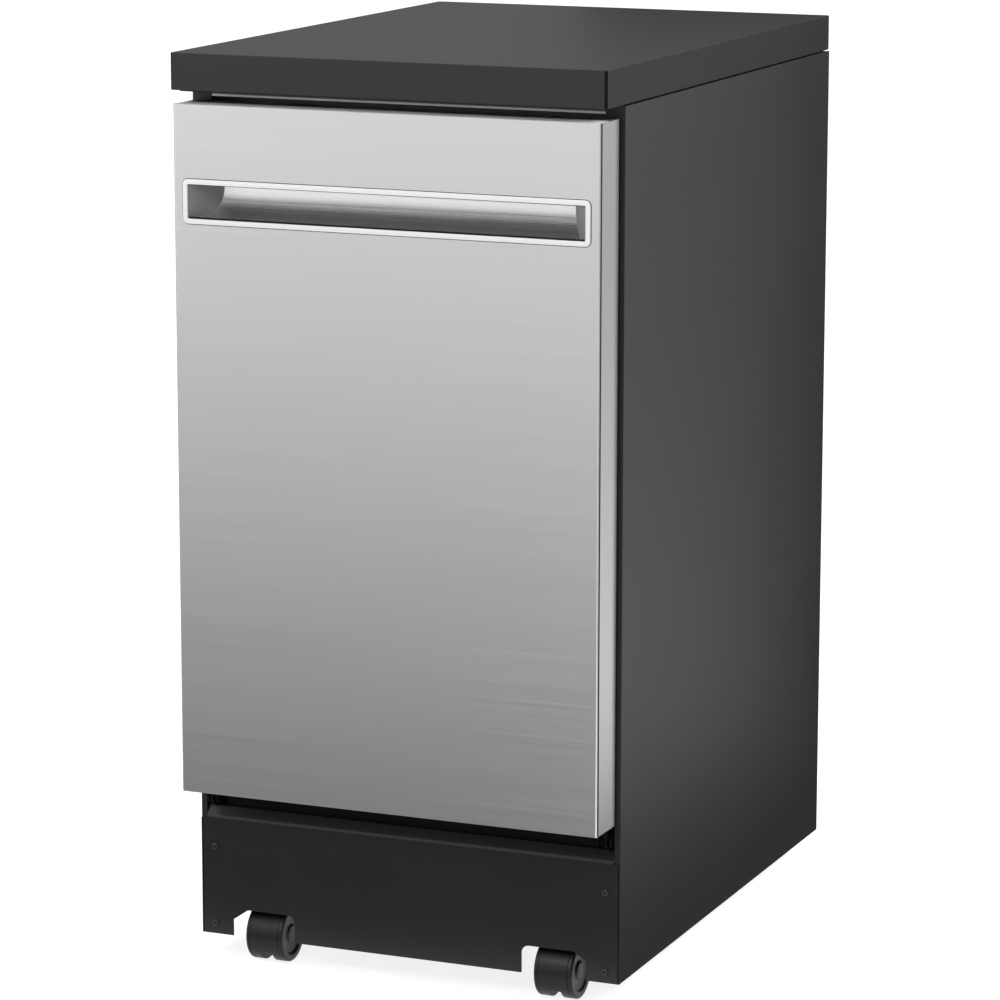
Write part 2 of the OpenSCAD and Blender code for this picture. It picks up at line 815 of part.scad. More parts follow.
liner_t = 1.2;
liner_y1 = door_back - 0.8;
liner_y0 = liner_y1 - liner_t;
liner_z0 = door_z + 2;
panel_h = 22.5;
panel_z0 = door_z1 - panel_h;
liner_hw = door_hw - skin_t;
dish_rim = 29.3;
dish_w = 2 * (liner_hw - dish_rim);
dish_z0 = door_z + 18;
dish_z1 = grip_z0 - 9;
dish_y = door_back - 17;
grip_hw = grip_w / 2;
fold_r = 1.8;
front_flange = 26;
button_w = 12;
button_d = 8;
button_y = door_back - 10.5;
button_travel = 1.5;
power_x = -136;
start_x = 52;
program_x = 122;
delay_x = 152;
window_x = -100;
window_w = 32;
window_d = 12;
latch_depth = 20;
board_t = 1.6;
board_z = panel_z0 + 4;

// Folded skin, open to the back, with an opening for the handle pocket
module door_skin() {
    color("#c4c6c8")
        difference() {
            union() {
                translate([0, door_y, door_z])
                    linear_extrude(door_h)
                        difference() {
                            translate([0, door_t / 2]) round_rect(door_w, door_t, fold_r);
                            translate([-liner_hw, skin_t]) square([2 * liner_hw, door_t]);
                            translate([-door_hw - 1, door_t - fold_r]) square([door_w + 2, fold_r + 1]);
                        }
                // square ends of the side folds
                both_sides()
                    block([liner_hw, door_back - fold_r - 1, door_z], [door_hw, door_back, door_z1]);
                block([-liner_hw - 0.5, door_y + skin_t / 2, door_z],
                      [liner_hw + 0.5, door_y + 15, door_z + skin_t]);
                // the top edge is folded back as far as the buttons
                block([-liner_hw - 0.5, door_y + skin_t / 2, door_z1 - skin_t],
                      [liner_hw + 0.5, door_y + front_flange, door_z1]);
            }
            sweep_y(door_y - 1, door_y + skin_t + 1)
                translate([-grip_hw - plastic_t, grip_z0 - plastic_t])
                    square([grip_w + 2 * plastic_t, grip_h + 2 * plastic_t]);
        }
}

// The pocket's inside grown by `wall`: a quarter ellipse in section, leaning end walls
module pocket(wall, front) {
    depth = grip_d + wall;
    half = grip_hw + wall;
    intersection() {
        sweep_x(-half, half)
            polygon(concat(
                [[front, grip_z0 - wall], [front, grip_z1 + wall], [door_y + depth, grip_z1 + wall]],
                [for (a = [0 : 6 : 84]) [door_y + depth * cos(a), grip_z1 - (grip_h + wall) * sin(a)]]));
        translate([0, 0, grip_z0 - wall - 1])
            linear_extrude(grip_h + 2 * wall + 2)
                polygon([[-half, front], [half, front], [half, door_y], [half - grip_lean, door_y + depth],
                         [grip_lean - half, door_y + depth], [-half, door_y]]);
    }
}

module handle_bezel() {
    front = door_y - bezel_proud;
    color("#e6e7e8")
        difference() {
            union() {
                sweep_y(front, door_y)
                    translate([0, (grip_z0 + grip_z1) / 2])
                        round_rect(grip_w + 2 * bezel_w, grip_h + 2 * bezel_w, bezel_w);
                pocket(plastic_t, door_y - bezel_proud / 2);
            }
            pocket(0, front - 1);
        }
}

// Stainless inner panel with a dish that gives the racks room
module door_liner() {
    mid = (dish_z0 + dish_z1) / 2;
    high = dish_z1 - dish_z0;
    color("#bcbfc2")
        difference() {
            union() {
                sweep_y(liner_y0, liner_y1)
                    translate([-liner_hw, liner_z0]) square([2 * liner_hw, panel_z0 - liner_z0]);
                sweep_y(dish_y - liner_t, liner_y1)
                    translate([0, mid]) round_rect(dish_w, high, 25);
            }
            sweep_y(dish_y, liner_y1 + 1)
                translate([0, mid]) round_rect(dish_w - 2 * liner_t, high - 2 * liner_t, 25 - liner_t);
            block([disp_x0, dish_y - 5, disp_z0], [disp_x1, dish_y + 1, disp_z1]);
        }
}

module control_panel() {
    inner = liner_hw - plastic_t;
    hole_w = button_w + 2 * air;
    hole_d = button_d + 2 * air;
    color("#1b1b1d")
        difference() {
            sweep_x(-liner_hw, liner_hw)
                polygon([[door_y + skin_t, panel_z0], [door_y + skin_t, door_z1 - skin_t],
                         [door_y + front_flange, door_z1 - skin_t], [door_y + front_flange, door_z1],
                         [liner_y1 - 1.5, door_z1], [liner_y1, door_z1 - 1.5], [liner_y1, panel_z0]]);
            block([-inner, door_y + skin_t + plastic_t, panel_z0 - 1],
                  [inner, liner_y1 - plastic_t, door_z1 - plastic_t]);
            for (x = [power_x, start_x, program_x, delay_x])
                translate([x, button_y, 0])
                    block([-hole_w / 2, -hole_d / 2, panel_z0], [hole_w / 2, hole_d / 2, door_z1 + 1]);
            block([window_x - window_w / 2, button_y - window_d / 2, panel_z0],
                  [window_x + window_w / 2, button_y + window_d / 2, door_z1 + 1]);
            // slot where the latch tongue comes in
            block([-16, liner_y1 - plastic_t - 1, lock_z - 4], [16, liner_y1 + 1, lock_z + 6]);
        }
}

module display_window() {
    color("#39455c") {
        block([window_x - window_w / 2, button_y - window_d / 2, door_z1 - plastic_t],
              [window_x + window_w / 2, button_y + window_d / 2, door_z1 + 0.2]);
        block([window_x - window_w / 2 - 1.5, button_y - window_d / 2 - 1.5, door_z1 - plastic_t - 1],
              [window_x + window_w / 2 + 1.5, button_y + window_d / 2 + 1.5, door_z1 - plastic_t]);
    }
}

// Board on edge ribs, with a switch under each button and a display under the window
module control_board() {
    y0 = door_y + skin_t + plastic_t;
    y1 = liner_y1 - plastic_t;
    switch_h = 3;
    // the board reaches past the outer buttons
    x0 = power_x - 39;
    x1 = delay_x + 38;
    color("#2f6b45")
        difference() {
            union() {
                block([x0, y0, board_z], [x1, y1, board_z + board_t]);
                for (x = [power_x, start_x, program_x, delay_x])
                    translate([x, button_y, board_z])
                        block([-4, -4, 0], [4, 4, board_t + switch_h]);
                translate([window_x, button_y, board_z])
                    block([-14, -window_d / 2, 0], [14, window_d / 2, board_t + 6]);
                for (x = [74, 92])
                    translate([x, button_y, board_z]) cylinder(d = 12, h = 12);
            }
            // notch round the latch
            block([-22, y1 - latch_depth - 5, board_z - 1], [22, y1 + 1, board_z + board_t + 1]);
        }
}

// One push button; its skirt keeps it from coming out through the panel
module push_button(x) {
    foot_z = board_z + board_t + 3 + button_travel + air;
    skirt_z = door_z1 - plastic_t - air;
    w = button_w / 2;
    d = button_d / 2;
    translate([x, button_y, 0]) {
        block([-w, -d, skirt_z - 1], [w, d, door_z1 + 0.8]);
        block([-w - 1, -d - 1, skirt_z - 2], [w + 1, d + 1, skirt_z]);
        block([-2, -2, foot_z], [2, 2, skirt_z - 1]);
    }
}

module power_button() { color("#2c2c2e") push_button(power_x); }
module start_button() { color("#2c2c2e") push_button(start_x); }
module program_button() { color("#2c2c2e") push_button(program_x); }
module delay_button() { color("#2c2c2e") push_button(delay_x); }

// Spring catch: two leaves that close on the tongue of the crossbar
module door_latch() {
    back = liner_y1 - plastic_t;
    root = back - latch_depth;
    color("#77797c") {
        sweep_x(-12, 12)
            polygon([[back, lock_z - 3], [back, lock_z - 1.5], [root + 2, lock_z - 1.5],
                     [root + 2, lock_z + 5], [back, lock_z + 5], [back, lock_z + 6.5],
                     [root, lock_z + 6.5], [root, lock_z - 3]]);
        block([-16, back - 1.5, lock_z - 6], [-12, back, lock_z + 6.5]);
        block([12, back - 1.5, lock_z - 6], [16, back, lock_z + 6.5]);
    }
}

// Detergent and rinse-aid dispenser, let into the liner
disp_up = 318;
disp_h = 90;
disp_z0 = door_z + disp_up;
disp_z1 = disp_z0 + disp_h;
disp_x0 = -60;
disp_x1 = 60;
plate_t = 3;
lid_w = 62;
lid_x0 = -54;
lid_t = 2;
lid_travel = 56;
rail_h = 4;
cap_x = 36;
cap_r = 15;
plate_y = dish_y + plate_t;
disp_mid = (disp_z0 + disp_z1) / 2;
lid_z0 = disp_z0 + 10;
lid_z1 = disp_z1 - 10;

module dispenser_body() {
    left = lid_x0 - lid_travel - 4;
    front = door_y + skin_t + 6;
    rail_y0 = plate_y + lid_t + air;
    rail_y1 = plate_y + lid_t + 1.6;
    color("#d9dadb")
        difference() {
            union() {
                block([disp_x0, front, disp_z0], [disp_x1, dish_y + 1, disp_z1]);
                block([left, dish_y, disp_z0 - 4], [disp_x1 + 6, plate_y, disp_z1 + 4]);
                // rails over and under the sliding lid
                for (side = [0, 1])
                    mirror([0, 0, side])
                        translate([0, 0, side == 0 ? 0 : -2 * disp_mid])
                            sweep_x(left, lid_x0 + lid_w + 4)
                                polygon([[plate_y, lid_z1 + air], [rail_y0, lid_z1 + air],
                                         [rail_y0, lid_z1 - 2], [rail_y1, lid_z1 - 2],
                                         [rail_y1, lid_z1 + rail_h], [plate_y, lid_z1 + rail_h]]);
            }
            block([lid_x0 + 5, dish_y - 16, lid_z0 + 6], [lid_x0 + lid_w - 5, plate_y + 1, lid_z1 - 6]);
            translate([cap_x, dish_y - 12, disp_mid]) rotate([-90, 0, 0])
                cylinder(r = cap_r - 4 + run_fit, h = 20);
        }
}

module dispenser_lid() {
    y = plate_y + air / 2;
    color("#c2c4c6") {
        block([lid_x0, y, lid_z0], [lid_x0 + lid_w, y + lid_t, lid_z1]);
        // finger ridges
        for (i = [0 : 3])
            translate([lid_x0 + 8 + i * 5, y + lid_t, 0])
                block([0, 0, lid_z0 + 14], [2, 1.6, lid_z1 - 14]);
    }
}

module rinse_aid_cap() {
    color("#9ea3a8")
        translate([cap_x, 0, disp_mid]) rotate([-90, 0, 0]) {
            translate([0, 0, dish_y - 10]) cylinder(r = cap_r - 4, h = plate_t + 10 + air);
            translate([0, 0, plate_y + air]) cylinder(r = cap_r, h = 3);
            translate([0, 0, plate_y + air + 2]) linear_extrude(4) round_rect(2 * cap_r - 6, 5, 2);
        }
}

// Arms that carry the door on the hinge pins, with a tail for the spring
module hinge_arms() {
    reach = 16;
    neck = 2.8;
    tail = [spring_y0 - 4, spring_z0 + 3];
    top = hinge_z + arm_rise;
    color("#7f8285")
        both_sides()
            sweep_x(arm_x, arm_x + arm_t)
                difference() {
                    union() {
                        translate([hinge_y, hinge_z]) circle(r = eye_r);
                        translate([hinge_y, hinge_z])
                            polygon([[neck, neck], [neck - reach, reach + neck],
                                     [-neck - reach, reach - neck], [-neck, -neck]]);
                        translate([hinge_y, hinge_z])
                            polygon([[0, 5], [0, -5], [tail[0] - hinge_y, tail[1] - hinge_z - 4],
                                     [tail[0] - hinge_y, tail[1] - hinge_z + 4]]);
                        translate(tail) circle(r = 4);
                        translate([liner_y0 - 14, door_z - 3]) square([14, top - door_z + 3]);
                    }
                    translate([hinge_y, hinge_z]) circle(d = pin_d + 2 * run_fit);
                }
}

module door_seal() {
    color("#2b2d2f")
        sweep_x(-dish_w / 2 + 2, dish_w / 2 - 2)
            translate([liner_y1, liner_z0])
                polygon([[0, 1], [0, 13], [1.2, 13], [1.4, 5], [2.8, 3], [2.4, 1]]);
}

module door_screws() {
    head_h = 1.2;
    x = dish_w / 2 + 6;
    rows = 4;
    color("#9a9da0")
        for (side = [-1, 1], i = [0 : rows - 1])
            translate([side * x, liner_y1, dish_z0 + 20 + i * (dish_z1 - dish_z0 - 40) / (rows - 1)])
                rotate([-90, 0, 0])
                    rotate_extrude() polygon([[0, 0], [3, 0], [2.4, head_h], [0, head_h]]);
}

// ---------- Racks ----------

bend_r = 12;
rack_front = door_back - 3;
rack_d = tower_y0 - rack_behind - rack_front;
rack_mid = rack_front + rack_d / 2;
wire_fn = 16;
// wires lie on each other at their welds, a hair apart
weld_gap = 0.06;
wire_step = wire_d + weld_gap;

// A wire bent up at both ends, drawn in the XZ plane about x = 0
module cradle_wire(width, height) {
    half = width / 2;
    r = bend_r;
    $fn = wire_fn;
    translate([-half + r, 0, 0]) rotate([0, 90, 0]) cylinder(d = wire_d, h = width - 2 * r);
    for (side = [0, 1])
        mirror([side, 0, 0]) {
            translate([half - r, 0, r]) rotate([90, 0, 0])
                rotate([0, 0, -90]) rotate_extrude(angle = 90) translate([r, 0]) circle(d = wire_d);
            translate([half, 0, r]) cylinder(d = wire_d, h = height - r);
        }
}

// The rim of a rack: a closed loop with round corners
module rim_loop(width, depth, z, d = rim_d, r = 22) {
    $fn = wire_fn;
    w = width / 2 - d / 2;
    h = depth / 2 - d / 2;
    translate([0, rack_mid, z]) {
        for (side = [-1, 1]) {
            translate([side * w, r - h, 0]) rotate([-90, 0, 0]) cylinder(d = d, h = 2 * (h - r));
            translate([r - w, side * h, 0]) rotate([0, 90, 0]) cylinder(d = d, h = 2 * (w - r));
        }
        for (mx = [0, 1], my = [0, 1])
            mirror([mx, 0, 0]) mirror([0, my, 0])
                translate([w - r, h - r, 0]) rotate_extrude(angle = 90) translate([r, 0]) circle(d = d);
    }
}

// Basket of wires: `across` wires run left to right, `along` wires front to back
module wire_basket(z0, high) {
    // the wires end right under the rim
    leg = high - rim_d / 2 - weld_gap;
    rim_loop(rack_w, rack_d, z0 + high);
    for (i = [1 : across_n])
        translate([0, wire_y(i), z0 + wire_step]) cradle_wire(rack_w - rim_d, leg - wire_step);
    for (i = [1 : along_n])
        translate([-rack_w / 2 + i * rack_w / (along_n + 1), rack_mid, z0])
            rotate(90) cradle_wire(rack_d - rim_d, leg);
}

// A row of upright tines, front to back, on its own carrier wire
module tine_row(x, z0, first, count, high) {
    $fn = wire_fn;
    over = 6;
    translate([x, first - over, z0]) rotate([-90, 0, 0])
        cylinder(d = wire_d, h = (count - 1) * tine_pitch + 2 * over);
    for (i = [0 : count - 1])
        translate([x, first + i * tine_pitch, z0]) cylinder(d = wire_d - 0.6, h = high);
}

across_n = 9;
along_n = 7;
low_tine_x = [-112, -62, 62, 112];
low_tines = 11;
up_tine_x = [-45, 45, 110];
up_tines = 10;
tine_y0 = rack_front + 110;

// The y of a cross wire, counted from the front
function wire_y(i) = rack_front + i * rack_d / (across_n + 1);

roller_r = 15;
roller_w = 10;
roller_x = rack_w / 2 - 21;
roller_axle = 5;
roller_z = tub_floor + roller_r + air;
roller_front = wire_y(1) + 16;
roller_rear = wire_y(9) + 8;

// Wheel bracket under the lower rack: a plate from a cross wire to the stub axle
module roller_bracket(y, post_y) {
    plate_x = roller_x - 5.5;
    // the plate reaches up to the underside of the cross wire
    top = low_rack_z + wire_step - wire_d / 2 - weld_gap;
    sweep_x(plate_x, plate_x + 3)
        polygon([[y - 5, roller_z - 6], [y + 5, roller_z - 6], [y + 6, roller_z + 4],
                 [post_y + 5, top], [post_y - 5, top], [y - 6, roller_z + 4]]);
    translate([plate_x, y, roller_z]) rotate([0, 90, 0]) cylinder(d = roller_axle, h = 5.5 + roller_w + 2);
    translate([plate_x, y, roller_z]) rotate([0, 90, 0]) cylinder(d = roller_axle + 4, h = 5.5 - air);
    translate([roller_x + roller_w + air, y, roller_z]) rotate([0, 90, 0])
        cylinder(d = roller_axle + 4, h = 1.6);
}

module lower_rack() {
    color("#aeb3b8") {
        wire_basket(low_rack_z, low_rack_h);
        for (x = low_tine_x)
            tine_row(x, low_rack_z + 2 * wire_step, tine_y0, low_tines, tine_h);
        both_sides() {
            roller_bracket(roller_front, wire_y(1));
            roller_bracket(roller_rear, wire_y(9));
        }
    }
}

// A pair of ribbed rack wheels on one axle line
module rack_wheels(y) {
    bore = roller_axle / 2 + run_fit;
    hub = 5.5;
    web = 4;
    color("#d8dadb")
        both_sides()
            translate([roller_x, y, roller_z]) rotate([0, 90, 0])
                difference() {
                    rotate_extrude()
                        polygon([[bore, 0], [roller_r - 1, 0], [roller_r, 1], [roller_r, roller_w - 1],
                                 [roller_r - 1, roller_w], [roller_r - 3, roller_w], [roller_r - 3, web],
                                 [hub, web], [hub, roller_w], [bore, roller_w]]);
                    for (i = [0 : 4])
                        rotate(i * 72) translate([8.8, 0, -1]) cylinder(d = 4, h = 6);
                }
}

module rack_wheels_front() { rack_wheels(roller_front); }
module rack_wheels_rear() { rack_wheels(roller_rear); }

basket_w = 136;
basket_d = 66;
basket_h = 110;
basket_y = rack_front + rim_d + 5 + basket_d / 2;
basket_z = low_rack_z + wire_step + wire_d / 2 + air;

// Cutlery basket: slotted walls, two dividers and a carrying handle
module cutlery_basket() {
    wall = 2;
    corner_r = 8;
    slot_w = 7;
    slot_h = 24;
    slot_z0 = 10;
    row_pitch = 33;
    pitch_x = 14;
    pitch_y = 16;
    divider_x = 1.5 * pitch_x;
    handle_h = 60;
    bar = 12;
    grip_hw = 24;
    // where dividers and handle end, half way into the wall
    end_x = basket_w / 2 - wall / 2;
    end_y = basket_d / 2 - wall / 2;
    color("#8f959b")
        translate([0, basket_y, basket_z]) {
            difference() {
                linear_extrude(basket_h) round_rect(basket_w, basket_d, corner_r);
                translate([0, 0, wall]) linear_extrude(basket_h)
                    round_rect(basket_w - 2 * wall, basket_d - 2 * wall, corner_r - wall);
                for (i = [-4 : 4], row = [0 : 2])
                    translate([i * pitch_x, 0, slot_z0 + row * row_pitch])
                        block([-slot_w / 2, -basket_d, 0], [slot_w / 2, basket_d, slot_h]);
                for (i = [-1 : 1], row = [0 : 2])
                    translate([0, i * pitch_y, slot_z0 + row * row_pitch])
                        block([-basket_w, -slot_w / 2, 0], [basket_w, slot_w / 2, slot_h]);
            }
            for (x = [-divider_x, divider_x])
                block([x - 1, -end_y, wall / 2], [x + 1, end_y, basket_h - 12]);
            // handle plate with a grip hole
            difference() {
                sweep_y(-1.5, 1.5)
                    polygon([[-end_x, basket_h - 8], [end_x, basket_h - 8], [end_x, basket_h - 4],
                             [grip_hw + 10, basket_h + handle_h - 10], [grip_hw, basket_h + handle_h],
                             [-grip_hw, basket_h + handle_h], [-grip_hw - 10, basket_h + handle_h - 10],
                             [-end_x, basket_h - 4]]);
                block([-grip_hw, -2, basket_h], [grip_hw, 2, basket_h + handle_h - bar]);
            }
        }
}

// Upper rack with its water pipe, the arm's spindle and the shelf's hinge rod
up_pipe_z = up_rack_z - 9;
up_arm_z = up_rack_z - 32;
spindle_r = 8;
shelf_x = 16 - rack_w / 2;
shelf_z = up_rack_z + up_rack_h - 20;
shelf_pin = 4;
shelf_w = 76;
module upper_rack() {
    hub_r = 16;
    hub_top = up_rack_z - wire_d / 2 - weld_gap;
    leg_face = -rack_w / 2 + rim_d / 2 + wire_d / 2 + weld_gap;
    color("#aeb3b8") {
        wire_basket(up_rack_z, up_rack_h);
        for (x = up_tine_x)
            tine_row(x, up_rack_z + 2 * wire_step, tine_y0, up_tines, tine_h - 16);
        // hub under the middle wire, with the pipe to the feed tube
        translate([0, sump_y, up_pipe_z - 7]) cylinder(r = hub_r, h = hub_top - up_pipe_z + 7);
        translate([0, sump_y, up_arm_z - 6]) cylinder(r = spindle_r, h = 24);
        translate([0, sump_y, up_arm_z - 6]) cylinder(r = spindle_r + 4, h = 6 - air);
        translate([0, sump_y, up_pipe_z]) rotate([-90, 0, 0]) cylinder(d = 12, h = tower_y0 - 8 - sump_y);
        translate([shelf_x, wire_y(2), shelf_z]) rotate([-90, 0, 0])
            cylinder(d = shelf_pin, h = wire_y(7) - wire_y(2));
        for (i = [2, 7])
            translate([leg_face, wire_y(i), shelf_z]) rotate([0, 90, 0])
                cylinder(d = wire_d, h = shelf_x - leg_face + 1);
    }
}

// Moving halves of the slides, fixed to the sides of the upper rack
module rack_slides() {
    x1 = tub_hw - tub_t;
    x0 = x1 - slide_w;
    y0 = slide_y0 + 2;
    y1 = slide_y0 + slide_len - 6;
    head = slide_h / 2 - 3 - air;
    neck = slide_h / 2 - 7 - air;
    wire_face = rack_w / 2 - rim_d / 2 + wire_d / 2 + weld_gap;
    color("#c6c9cc")
        both_sides() {
            block([x0 + 3 + air, y0, slide_z - head], [x1 - 2 - air, y1, slide_z + head]);
            block([wire_face, y0, slide_z - neck], [x0 + 4, y1, slide_z + neck]);
        }
}

module cup_shelf() {
    clip_y = [wire_y(2) + 12, wire_y(6) + 26];
    clip_l = 12;
    clip_r = shelf_pin / 2 + 2.4;
    x0 = shelf_x + clip_r + 1.5;
    x1 = shelf_x + shelf_w;
    y1 = clip_y[1] + clip_l;
    rods = 9;
    rod_y0 = clip_y[0] + 2;
    rod_pitch = (y1 - 2 - rod_y0) / rods;
    color("#c9ced3")
        difference() {
            union() {
                for (y = clip_y)
                    translate([shelf_x, y, shelf_z]) rotate([-90, 0, 0]) cylinder(r = clip_r, h = clip_l);
                for (x = [x0, x1])
                    translate([x, clip_y[0], shelf_z]) rotate([-90, 0, 0])
                        cylinder(d = wire_d, h = y1 - clip_y[0], $fn = wire_fn);
                for (i = [0 : rods])
                    translate([x0, rod_y0 + i * rod_pitch, shelf_z]) rotate([0, 90, 0])
                        cylinder(d = wire_d - 0.6, h = x1 - x0, $fn = wire_fn);
            }
            for (y = clip_y)
                translate([shelf_x, y - 1, shelf_z]) rotate([-90, 0, 0])
                    cylinder(d = shelf_pin + 2 * run_fit, h = clip_l + 2);
        }
}

// Outline of a spray arm's blade, narrower towards the tips
module blade(tip_r, mid_w, tip_w) {
    x = tip_r - tip_w / 2;
    tip = tip_w / 2;
    mid = mid_w / 2;
    polygon([[-x, -tip], [0, -mid], [x, -tip], [x, tip], [0, mid], [-x, tip]]);
    for (side = [-1, 1])
        translate([side * x, 0]) circle(d = tip_w);
}

module spray_arm(tip_r, bore_r, z) {
    bevel = 3;
    jets = 5;
    pitch = (tip_r - bore_r - 26) / jets;
    translate([0, sump_y, z])
        difference() {
            union() {
                linear_extrude(arm_h - bevel) blade(tip_r, 40, 24);
                translate([0, 0, arm_h - bevel - 0.01]) linear_extrude(bevel) blade(tip_r - bevel, 32, 16);
                cylinder(r = bore_r + 10, h = arm_h);
            }
            translate([0, 0, -1]) cylinder(r = bore_r + run_fit, h = arm_h + 2);
            for (side = [-1, 1], i = [1 : jets])
                translate([side * (bore_r + 14 + i * pitch), (i % 2) * 5 - 2.5, arm_h - 6])
                    cylinder(d = 3, h = 8);
        }
}

module lower_spray_arm() { color("#a7abaf") spray_arm(low_arm_r, post_r, low_arm_z); }
module upper_spray_arm() { color("#a7abaf") spray_arm(up_arm_r, spindle_r, up_arm_z); }

// ---------- Casters ----------

hood_air = 0.3;

// Swivel housing of the right-hand caster whose stem stands at y
module caster(y) {
    axle_y = y - trail;
    // the hood fills the gap between the wheels
    half = caster_gap / 2 - hood_air;
    notch = 9;
    cap_t = 1;
    color("#232325")
        translate([stem_x, 0, 0]) {
            difference() {
                union() {
                    translate([-half, axle_y, wheel_r]) rotate([0, 90, 0])
                        cylinder(r = wheel_r - hood_air, h = 2 * half);
                    block([-half, y - 9, wheel_r], [half, y + 9, boss_z0 + 1]);
                }
                block([-half - 1, axle_y - wheel_r, -1], [half + 1, axle_y + wheel_r, notch]);
            }
            translate([0, y, boss_z0]) cylinder(r = stem_d / 2 + 6, h = boss_z1 - boss_z0);
            translate([0, y, boss_z1 - 1]) cylinder(d = stem_d, h = pan_t + socket_h + air);
            translate([-caster_w / 2 + cap_t, axle_y, wheel_r]) rotate([0, 90, 0])
                cylinder(d = axle_d, h = caster_w - 2 * cap_t);
            for (side = [0, 1])
                mirror([side, 0, 0])
                    translate([caster_w / 2 - cap_t, axle_y, wheel_r]) rotate([0, 90, 0])
                        cylinder(r = axle_d / 2 + 2, h = cap_t);
        }
}

// The two wheels of the same caster
module caster_wheels(y) {
    w = (caster_w - caster_gap) / 2;
    bore = axle_d / 2 + run_fit;
    color("#2b2b2d")
        translate([stem_x, y - trail, wheel_r])
            for (side = [0, 1])
                mirror([side, 0, 0])
                    translate([caster_gap / 2, 0, 0]) rotate([0, 90, 0])
                        rotate_extrude()
                            polygon([[bore, 0], [wheel_r - 0.5, 0], [wheel_r, 0.5], [wheel_r, w - 3],
                                     [wheel_r - 1, w - 1], [wheel_r - 3, w], [wheel_r - 6, w],
                                     [wheel_r - 8, w - 2], [10, w - 3], [8.5, w - 1.4], [bore, w - 1.4]]);
}

module caster_front_right() { caster(front_stem_y); }
module caster_front_left() { mirror([1, 0, 0]) caster(front_stem_y); }
module caster_rear_right() { caster(rear_stem_y); }
module caster_rear_left() { mirror([1, 0, 0]) caster(rear_stem_y); }
module wheels_front_right() { caster_wheels(front_stem_y); }
module wheels_front_left() { mirror([1, 0, 0]) caster_wheels(front_stem_y); }
module wheels_rear_right() { caster_wheels(rear_stem_y); }
module wheels_rear_left() { mirror([1, 0, 0]) caster_wheels(rear_stem_y); }

worktop();
side_panel_left();
side_panel_right();
back_panel();
hose_bay();
base_frame();
kickplate();
cabinet_screws();
tub();
tub_gasket();
top_crossbar();
hinge_brackets();
door_springs();
sump();
circulation_pump();
drain_pump();
inlet_valve();
feed_tube();
filter_plate();
filter_cup();
heating_element();
rack_guides();
top_spray_head();
float_dome();
hose_spigots();
cord_gland();
door_skin();
handle_bezel();
door_liner();
control_panel();
display_window();
control_board();
door_latch();
power_button();
start_button();
program_button();
delay_button();
dispenser_body();
dispenser_lid();
rinse_aid_cap();
hinge_arms();
door_seal();
door_screws();
upper_rack();
rack_slides();
cup_shelf();
upper_spray_arm();
lower_rack();
rack_wheels_front();
rack_wheels_rear();
cutlery_basket();
lower_spray_arm();
caster_front_left();
caster_front_right();
caster_rear_left();
caster_rear_right();
wheels_front_left();
wheels_front_right();
wheels_rear_left();
wheels_rear_right();
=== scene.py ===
# %% [markdown]
# # A portable dishwasher on casters
# The object is a slim dishwasher that is rolled to the sink: a black painted cabinet under
# a dark worktop, a drop-down door in brushed stainless steel with a recessed grip, and four
# small twin-wheel casters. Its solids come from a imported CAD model, the frame. The frame
# gives every part its true place and size, and it moves on joints. This script dresses it:
# it gives each part a finish, builds finer pieces where the plain solid isn't enough, and
# sets up camera, floor and light. Every length is in metres, in the frame's own axes:
# X to the right, Y to the back, Z up, with the floor at zero.

import json
import math

import bmesh
import bpy
from mathutils import Matrix, Vector


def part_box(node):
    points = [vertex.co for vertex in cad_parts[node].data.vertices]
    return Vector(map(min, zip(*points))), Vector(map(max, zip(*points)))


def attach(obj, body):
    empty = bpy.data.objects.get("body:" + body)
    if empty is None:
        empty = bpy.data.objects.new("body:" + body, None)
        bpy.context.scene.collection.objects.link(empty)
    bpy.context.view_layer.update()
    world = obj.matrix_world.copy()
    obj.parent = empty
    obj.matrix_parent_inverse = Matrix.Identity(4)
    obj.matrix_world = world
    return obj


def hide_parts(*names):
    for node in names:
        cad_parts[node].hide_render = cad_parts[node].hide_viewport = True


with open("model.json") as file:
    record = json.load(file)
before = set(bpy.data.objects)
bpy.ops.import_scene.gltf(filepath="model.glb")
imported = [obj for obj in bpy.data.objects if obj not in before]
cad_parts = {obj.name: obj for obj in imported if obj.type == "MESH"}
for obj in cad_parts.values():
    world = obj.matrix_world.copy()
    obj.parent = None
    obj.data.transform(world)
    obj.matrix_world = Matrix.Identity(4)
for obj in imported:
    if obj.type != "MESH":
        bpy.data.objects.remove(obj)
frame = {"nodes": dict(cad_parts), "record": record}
scene = bpy.context.scene
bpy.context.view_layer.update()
mm = 0.001

# %% [markdown]
# ## The camera
# A picture of a box holds enough to work out where the camera stood: the directions of the
# box's edges give the viewing angle, and the rate at which they run together gives the
# distance. Here the camera stands to the right of the front, a little above it, about four
# metres away, with a long lens, so the upright edges stay almost parallel. The camera's
# turn is put together from three simple ones: a roll about its own view, a tilt from
# looking straight down, and a swing about the upright axis.

# %% Camera
CAMERA_PLACE = Vector((1.6455, -3.9786, 1.3036))
CAMERA_SWING = math.radians(22.661)
CAMERA_DIP = math.radians(11.368)
CAMERA_ROLL = math.radians(0.074)
LENS = 153.66

lens = bpy.data.cameras.new("camera")
lens.lens = LENS
lens.sensor_width = 36
lens.clip_end = 100
camera = bpy.data.objects.new("camera", lens)
camera.matrix_world = (
    Matrix.Translation(CAMERA_PLACE)
    @ Matrix.Rotation(CAMERA_SWING, 4, "Z")
    @ Matrix.Rotation(math.radians(90) - CAMERA_DIP, 4, "X")
    @ Matrix.Rotation(CAMERA_ROLL, 4, "Z")
)
scene.collection.objects.link(camera)
scene.camera = camera
print("camera at", tuple(round(v, 3) for v in CAMERA_PLACE), "lens", LENS)

